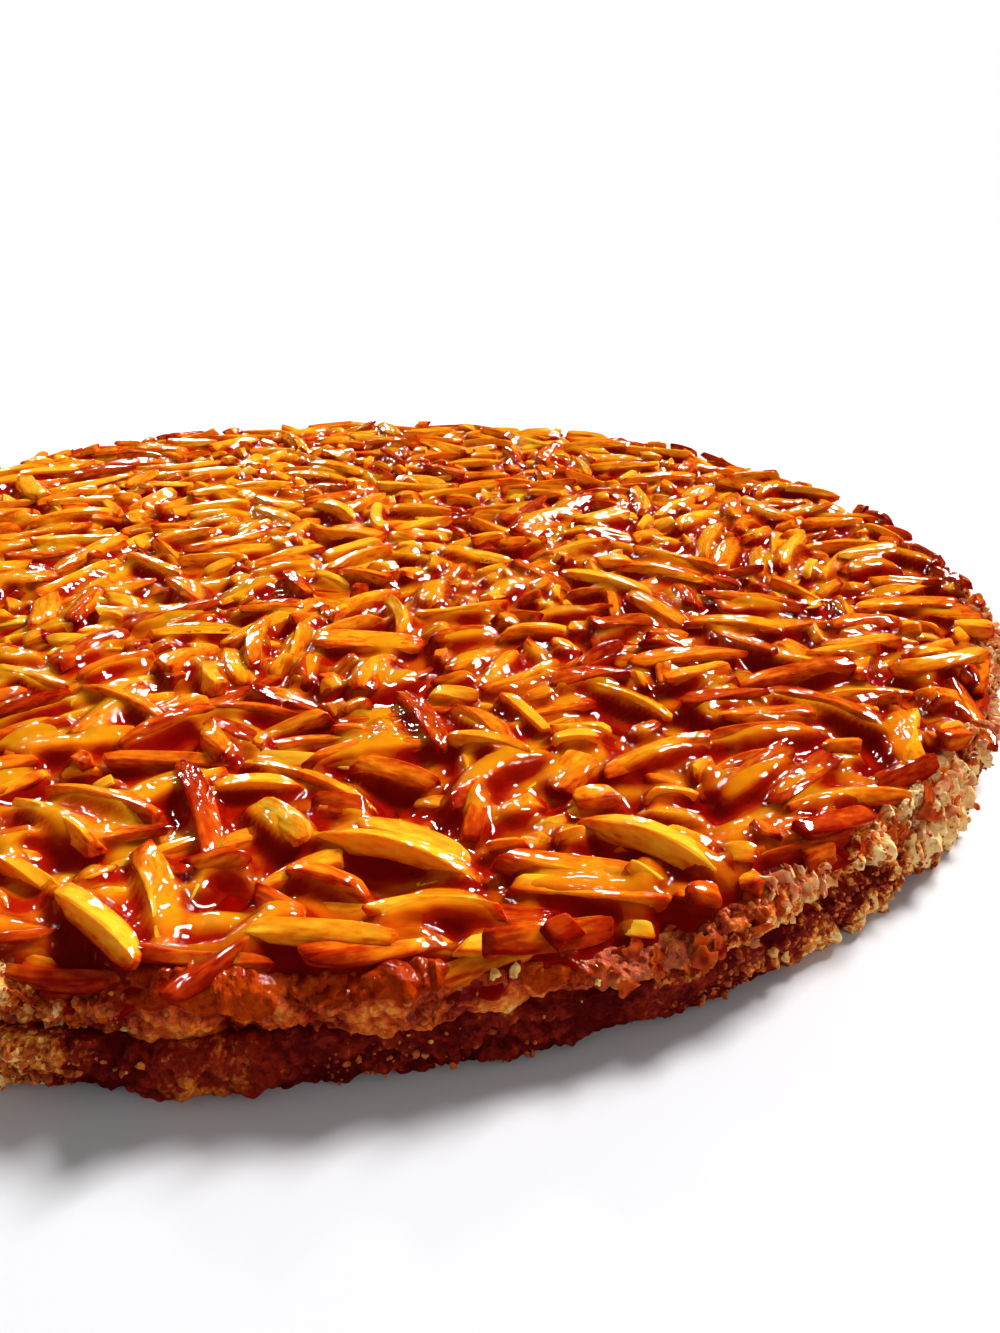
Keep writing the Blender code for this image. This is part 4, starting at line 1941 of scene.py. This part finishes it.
@dataclass
class ShortcrustSide(BrokenSide):
    """The pastry: its crumbly side, closed by a flat underside."""

    reach_inset: float = 0.5 * MM
    profile: tuple = ((0.0, 2.6), (0.08, 1.0), (0.2, 0.5), (0.45, 0.4), (0.8, 0.8), (1.0, 1.8))

    def build(self, crust: RimGauge) -> bpy.types.Object:
        """Make the piece.

        Args:
            crust: the pastry's rim.

        Returns:
            The object.
        """
        angle = np.arange(self.steps) * math.tau / self.steps
        reach = crust.reach(angle) - self.reach_inset
        top = crust.shoulder(angle)
        downs, insets = np.array(self.profile).T
        rings = []
        for row in range(self.rows):
            share = row / (self.rows - 1)
            radius = reach - np.interp(share, downs, insets) * MM
            height = top * (1.0 - share)
            rings.append(np.stack([radius * np.cos(angle), radius * np.sin(angle), height], axis=-1))
        piece = self.band("shortcrust_side", rings, PASTRY.material(), "pastry")
        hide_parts("pastry_crust")
        return piece

    def close(self, name: str, points: np.ndarray, readings: dict[str, np.ndarray]) -> MeshParts:
        """Close the pastry across its top and its flat underside.

        Args:
            name: the piece's name.
            points: the outer rings.
            readings: the readings at the outer rings' points.

        Returns:
            The closed pastry.
        """
        points[-1, :, 2] = 0.0
        numbers = np.arange(points.shape[0] * points.shape[1]).reshape(points.shape[:2])
        faces = band_faces(numbers)
        faces.append(fan_faces(numbers[-1], numbers.size))
        faces.append(fan_faces(numbers[0][::-1], numbers.size + 1))
        hubs = [[0.0, 0.0, 0.0], [0.0, 0.0, points[0, :, 2].mean()]]
        padded = {key: np.pad(values.reshape(-1), (0, 2)) for key, values in readings.items()}
        return MeshParts(name, np.concatenate([points.reshape(-1, 3), hubs]), np.concatenate(faces), padded)


@dataclass(frozen=True)
class CrumbSort:
    """One sort of crumb: its range of widths in millimetres, and its thickness as a share of its width.

    The turn is the angle from the outward direction to the thin one.
    """

    name: str
    count: int
    widths: tuple[float, float]
    splits: int
    finish: CrumbFinish
    slot: str = "pastry"
    thinness: float = 1.0
    turn: float = math.pi / 2.0
    ragged: float = 0.38


PALE_CRUMBS = CrumbSort("pale_crumbs", 420, (0.35, 1.6), 2, PALE_CRUMB)
DARK_CRUMBS = CrumbSort("dark_crumbs", 4200, (0.35, 1.2), 1, DARK_CRUMB)
CREAM_SHARDS = CrumbSort("cream_shards", 1100, (0.7, 3.0), 2, CREAM_SHARD, thinness=0.3)
AMBER_SHEETS = CrumbSort(
    "amber_sheets", 480, (1.0, 3.4), 2, AMBER_SHEET, slot="caramel", thinness=0.22, turn=0.0, ragged=0.66
)
SHEETS_FROM = 8.5 * MM


@dataclass
class CrumbScatter:
    """Crumbs that cling to the side and the rim."""

    crowd: float = 8.0 * MM
    crisp: float = math.radians(36.0)
    seed: int = 83

    @staticmethod
    def lump(splits: int) -> tuple[np.ndarray, np.ndarray]:
        """A ball of triangles.

        Args:
            splits: how many times each face of the plain ball is split.

        Returns:
            Its points and its faces.
        """
        made = bmesh.new()
        bmesh.ops.create_icosphere(made, subdivisions=splits, radius=1.0)
        points = np.array([vertex.co[:] for vertex in made.verts])
        faces = np.array([[vertex.index for vertex in face.verts] for face in made.faces])
        made.free()
        return points, faces

    def build(self, sort: CrumbSort, surface: np.ndarray, salt: int) -> None:
        """Make one piece of many crumbs.

        Args:
            sort: the sort of crumb.
            surface: points of the surface that they cling to.
            salt: a number that makes their places unlike those of the other sorts.
        """
        places, widths = self.cling(sort, surface, salt)
        draw = np.random.default_rng(self.seed + sort.count)
        ball, faces = self.lump(sort.splits)
        rough = draw.uniform(1.0 - sort.ragged, 1.0 + 0.6 * sort.ragged, (sort.count, len(ball), 1))
        stretch = draw.uniform(0.6, 1.25, (sort.count, 1, 3))
        grown = ball[None] * rough * stretch * widths[:, None, None] / 2.0
        if sort.thinness < 1.0:
            rim = np.arctan2(places[:, 1], places[:, 0]) + draw.normal(sort.turn, 0.45, sort.count)
            thin_way = (np.cos(rim), np.sin(rim), draw.normal(0.1, 0.3, sort.count))
            across = np.stack(thin_way, axis=-1)[:, None, :]
            across /= np.linalg.norm(across, axis=-1, keepdims=True)
            grown = grown - (1.0 - sort.thinness) * (grown * across).sum(axis=-1, keepdims=True) * across
        points = grown + places[:, None, :]
        points[..., 2] = np.maximum(points[..., 2], 0.0)
        numbers = (faces[None] + (np.arange(sort.count) * len(ball))[:, None, None]).reshape(-1, 3)
        parts = MeshParts(sort.name, points.reshape(-1, 3), numbers)
        parts.piece(sort.finish.material(), sort.slot, crisp=self.crisp)

    def cling(self, sort: CrumbSort, surface: np.ndarray, salt: int) -> tuple[np.ndarray, np.ndarray]:
        """Pick places on a surface, and widths, with many more small crumbs than large ones.

        Args:
            sort: the sort of crumb.
            surface: points of the surface.
            salt: a number that makes this pick unlike the others.

        Returns:
            The places and the widths.
        """
        draw = np.random.default_rng(self.seed + salt)
        places = surface[draw.integers(0, len(surface), 5 * sort.count)]
        crowd = Grain(self.seed + salt).swell(places, self.crowd) + draw.uniform(-0.7, 0.7, len(places))
        crowd += 0.8 * stretch_share(DRY_STRETCHES, np.arctan2(places[:, 1], places[:, 0]))
        places = places[np.argsort(-crowd)[: sort.count]]
        low, high = (width * MM for width in sort.widths)
        widths = low + (high - low) * draw.uniform(0.0, 1.0, sort.count) ** 2.5
        out = 1.0 + draw.uniform(-0.1, 0.35, sort.count) * widths / np.hypot(places[:, 0], places[:, 1])
        return places * np.stack([out, out, np.ones(sort.count)], axis=-1), widths


# The studio.


@dataclass(frozen=True)
class Window:
    """A rectangular light that faces the tart, and whether shiny surfaces mirror it."""

    name: str
    place: tuple[float, float, float]
    size: tuple[float, float]
    watts: float
    glint: bool = True

    def hang(self) -> None:
        """Hang it."""
        data = bpy.data.lights.new(self.name, "AREA")
        data.shape = "RECTANGLE"
        data.size, data.size_y = self.size
        data.energy = self.watts
        lamp = bpy.data.objects.new(self.name, data)
        lamp.location = self.place
        lamp.visible_glossy = self.glint
        lamp.rotation_euler = (-Vector(self.place)).to_track_quat("-Z", "Y").to_euler()
        bpy.context.scene.collection.objects.link(lamp)


WINDOWS = (
    Window("window", (1.6, 1.39, 2.19), (0.8, 0.7), 148.0),
    Window("far_window", (0.45, 2.4, 0.95), (0.2, 0.2), 7.0),
    Window("left_window", (-0.75, 2.3, 0.95), (0.3, 0.3), 15.0),
    Window("high_window", (-1.1, 1.7, 1.5), (0.2, 0.2), 6.0),
    Window("fill", (1.67, -0.97, 0.5), (0.9, 0.9), 7.5, glint=False),
)


@dataclass(frozen=True)
class Studio:
    """The floor, the lights and the camera."""

    camera_place: tuple[float, float, float] = (31.1 * MM, -194.2 * MM, 83.5 * MM)
    camera_dip: float = 25.61
    focal_pixels: float = 1040.0
    frame_pixels: tuple[int, int] = (1000, 1333)
    sensor: float = 36.0
    room_light: float = 0.27
    mirrored_light: float = 0.015
    backdrop_light: float = 1.0
    floor_half: float = 6.0

    def build(self) -> None:
        """Set everything up."""
        self.place_camera()
        self.lay_floor()
        for window in WINDOWS:
            window.hang()
        self.light_the_room()

    def on_plane(self, right: float, down: float, height: float) -> Vector:
        """The point at a height that shows at a pixel of the picture.

        Args:
            right: the pixel's distance from the picture's left side.
            down: its distance from the top.
            height: the height of the point.

        Returns:
            The point.
        """
        across = (right - self.frame_pixels[0] / 2.0) / self.focal_pixels
        fall = (down - self.frame_pixels[1] / 2.0) / self.focal_pixels
        dip = math.radians(self.camera_dip)
        ahead = math.cos(dip) - fall * math.sin(dip)
        drop = math.sin(dip) + fall * math.cos(dip)
        place = Vector(self.camera_place)
        return place + Vector((across, ahead, -drop)) * ((place.z - height) / drop)

    def place_camera(self) -> None:
        """Set the camera."""
        data = bpy.data.cameras.new("camera")
        data.sensor_fit = "VERTICAL"
        data.sensor_height = self.sensor
        data.lens = self.sensor * self.focal_pixels / self.frame_pixels[1]
        data.clip_start = 5.0 * MM
        camera = bpy.data.objects.new("camera", data)
        camera.location = self.camera_place
        camera.rotation_euler = (math.radians(90.0 - self.camera_dip), 0.0, 0.0)
        bpy.context.scene.collection.objects.link(camera)
        bpy.context.scene.camera = camera

    def lay_floor(self) -> None:
        """Lay a wide pale floor."""
        half = self.floor_half
        mesh = bpy.data.meshes.new("floor")
        corners = [(-half, -half, 0.0), (half, -half, 0.0), (half, half, 0.0), (-half, half, 0.0)]
        mesh.from_pydata(corners, [], [(0, 1, 2, 3)])
        mesh.materials.append(FloorFinish().material())
        floor = bpy.data.objects.new("floor", mesh)
        bpy.context.scene.collection.objects.link(floor)
        floor.visible_glossy = False
        floor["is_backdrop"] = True

    def light_the_room(self) -> None:
        """Give the room its soft white light, dimmer where it is mirrored, and show colours plainly."""
        bench = Bench(bpy.data.worlds.new("room"), "Background")
        strength = self.mirrored_light
        for ray, light in (("Is Camera Ray", self.backdrop_light), ("Is Diffuse Ray", self.room_light)):
            seen = bench.node("ShaderNodeLightPath", {}, {}, ray)
            strength = seen * (light - self.mirrored_light) + strength
        bpy.context.scene.world = bench.dress(Color=(1.0, 1.0, 1.0), Strength=strength)
        bpy.context.scene.view_settings.view_transform = "Standard"


def write_sizes(before: tuple, after: tuple) -> None:
    """Turn the box of the solids and the box of the dressed tart into lists of numbers.

    Args:
        before: the solids' box.
        after: the dressed tart's box.
    """
    boxes = {"cad": before, "visual": after}
    boxes = {name: [list(map(float, corner)) for corner in box] for name, box in boxes.items()}


def main() -> None:
    """Dress the tart."""
    logging.basicConfig(level=logging.INFO)
    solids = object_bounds()
    studio = Studio()
    studio.build()
    heap = AlmondHeap()
    heap.fill(studio)
    LOG.info("almonds: %d placed", len(heap.slivers))
    glaze = CaramelGlaze()
    surface = glaze.surface(heap)
    glaze.build(heap, surface, CaramelFinish())
    crust = RimGauge("pastry_crust")
    upper = CaramelSide(bloomed=BLOOMED_STRETCHES)
    upper.build(heap.gauge, crust, surface)
    lower = ShortcrustSide(seed=67)
    lower.build(crust)
    whole = np.concatenate([upper.shown, lower.shown])
    dry = upper.shown[stretch_share(DRY_STRETCHES, np.arctan2(upper.shown[:, 1], upper.shown[:, 0])) > 0.4]
    high = upper.shown[upper.shown[:, 2] > SHEETS_FROM]
    grounds = ((PALE_CRUMBS, whole), (DARK_CRUMBS, whole), (CREAM_SHARDS, dry), (AMBER_SHEETS, high))
    for salt, (sort, ground) in enumerate(grounds, 1):
        CrumbScatter().build(sort, ground, salt)
    shown = heap.seen(surface)
    LOG.info("almonds: %d shown", len(shown))
    mould = SliverMould()
    for roast, finish in ALMOND_FINISHES.items():
        share = [sliver for sliver in shown if sliver.roast is roast]
        parts = mould.cast(f"{roast.value}_almonds", share, surface, heap)
        parts.piece(finish.material(), "almond", crisp=mould.crisp)
    write_sizes(solids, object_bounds())


if __name__ == "__main__":
    main()
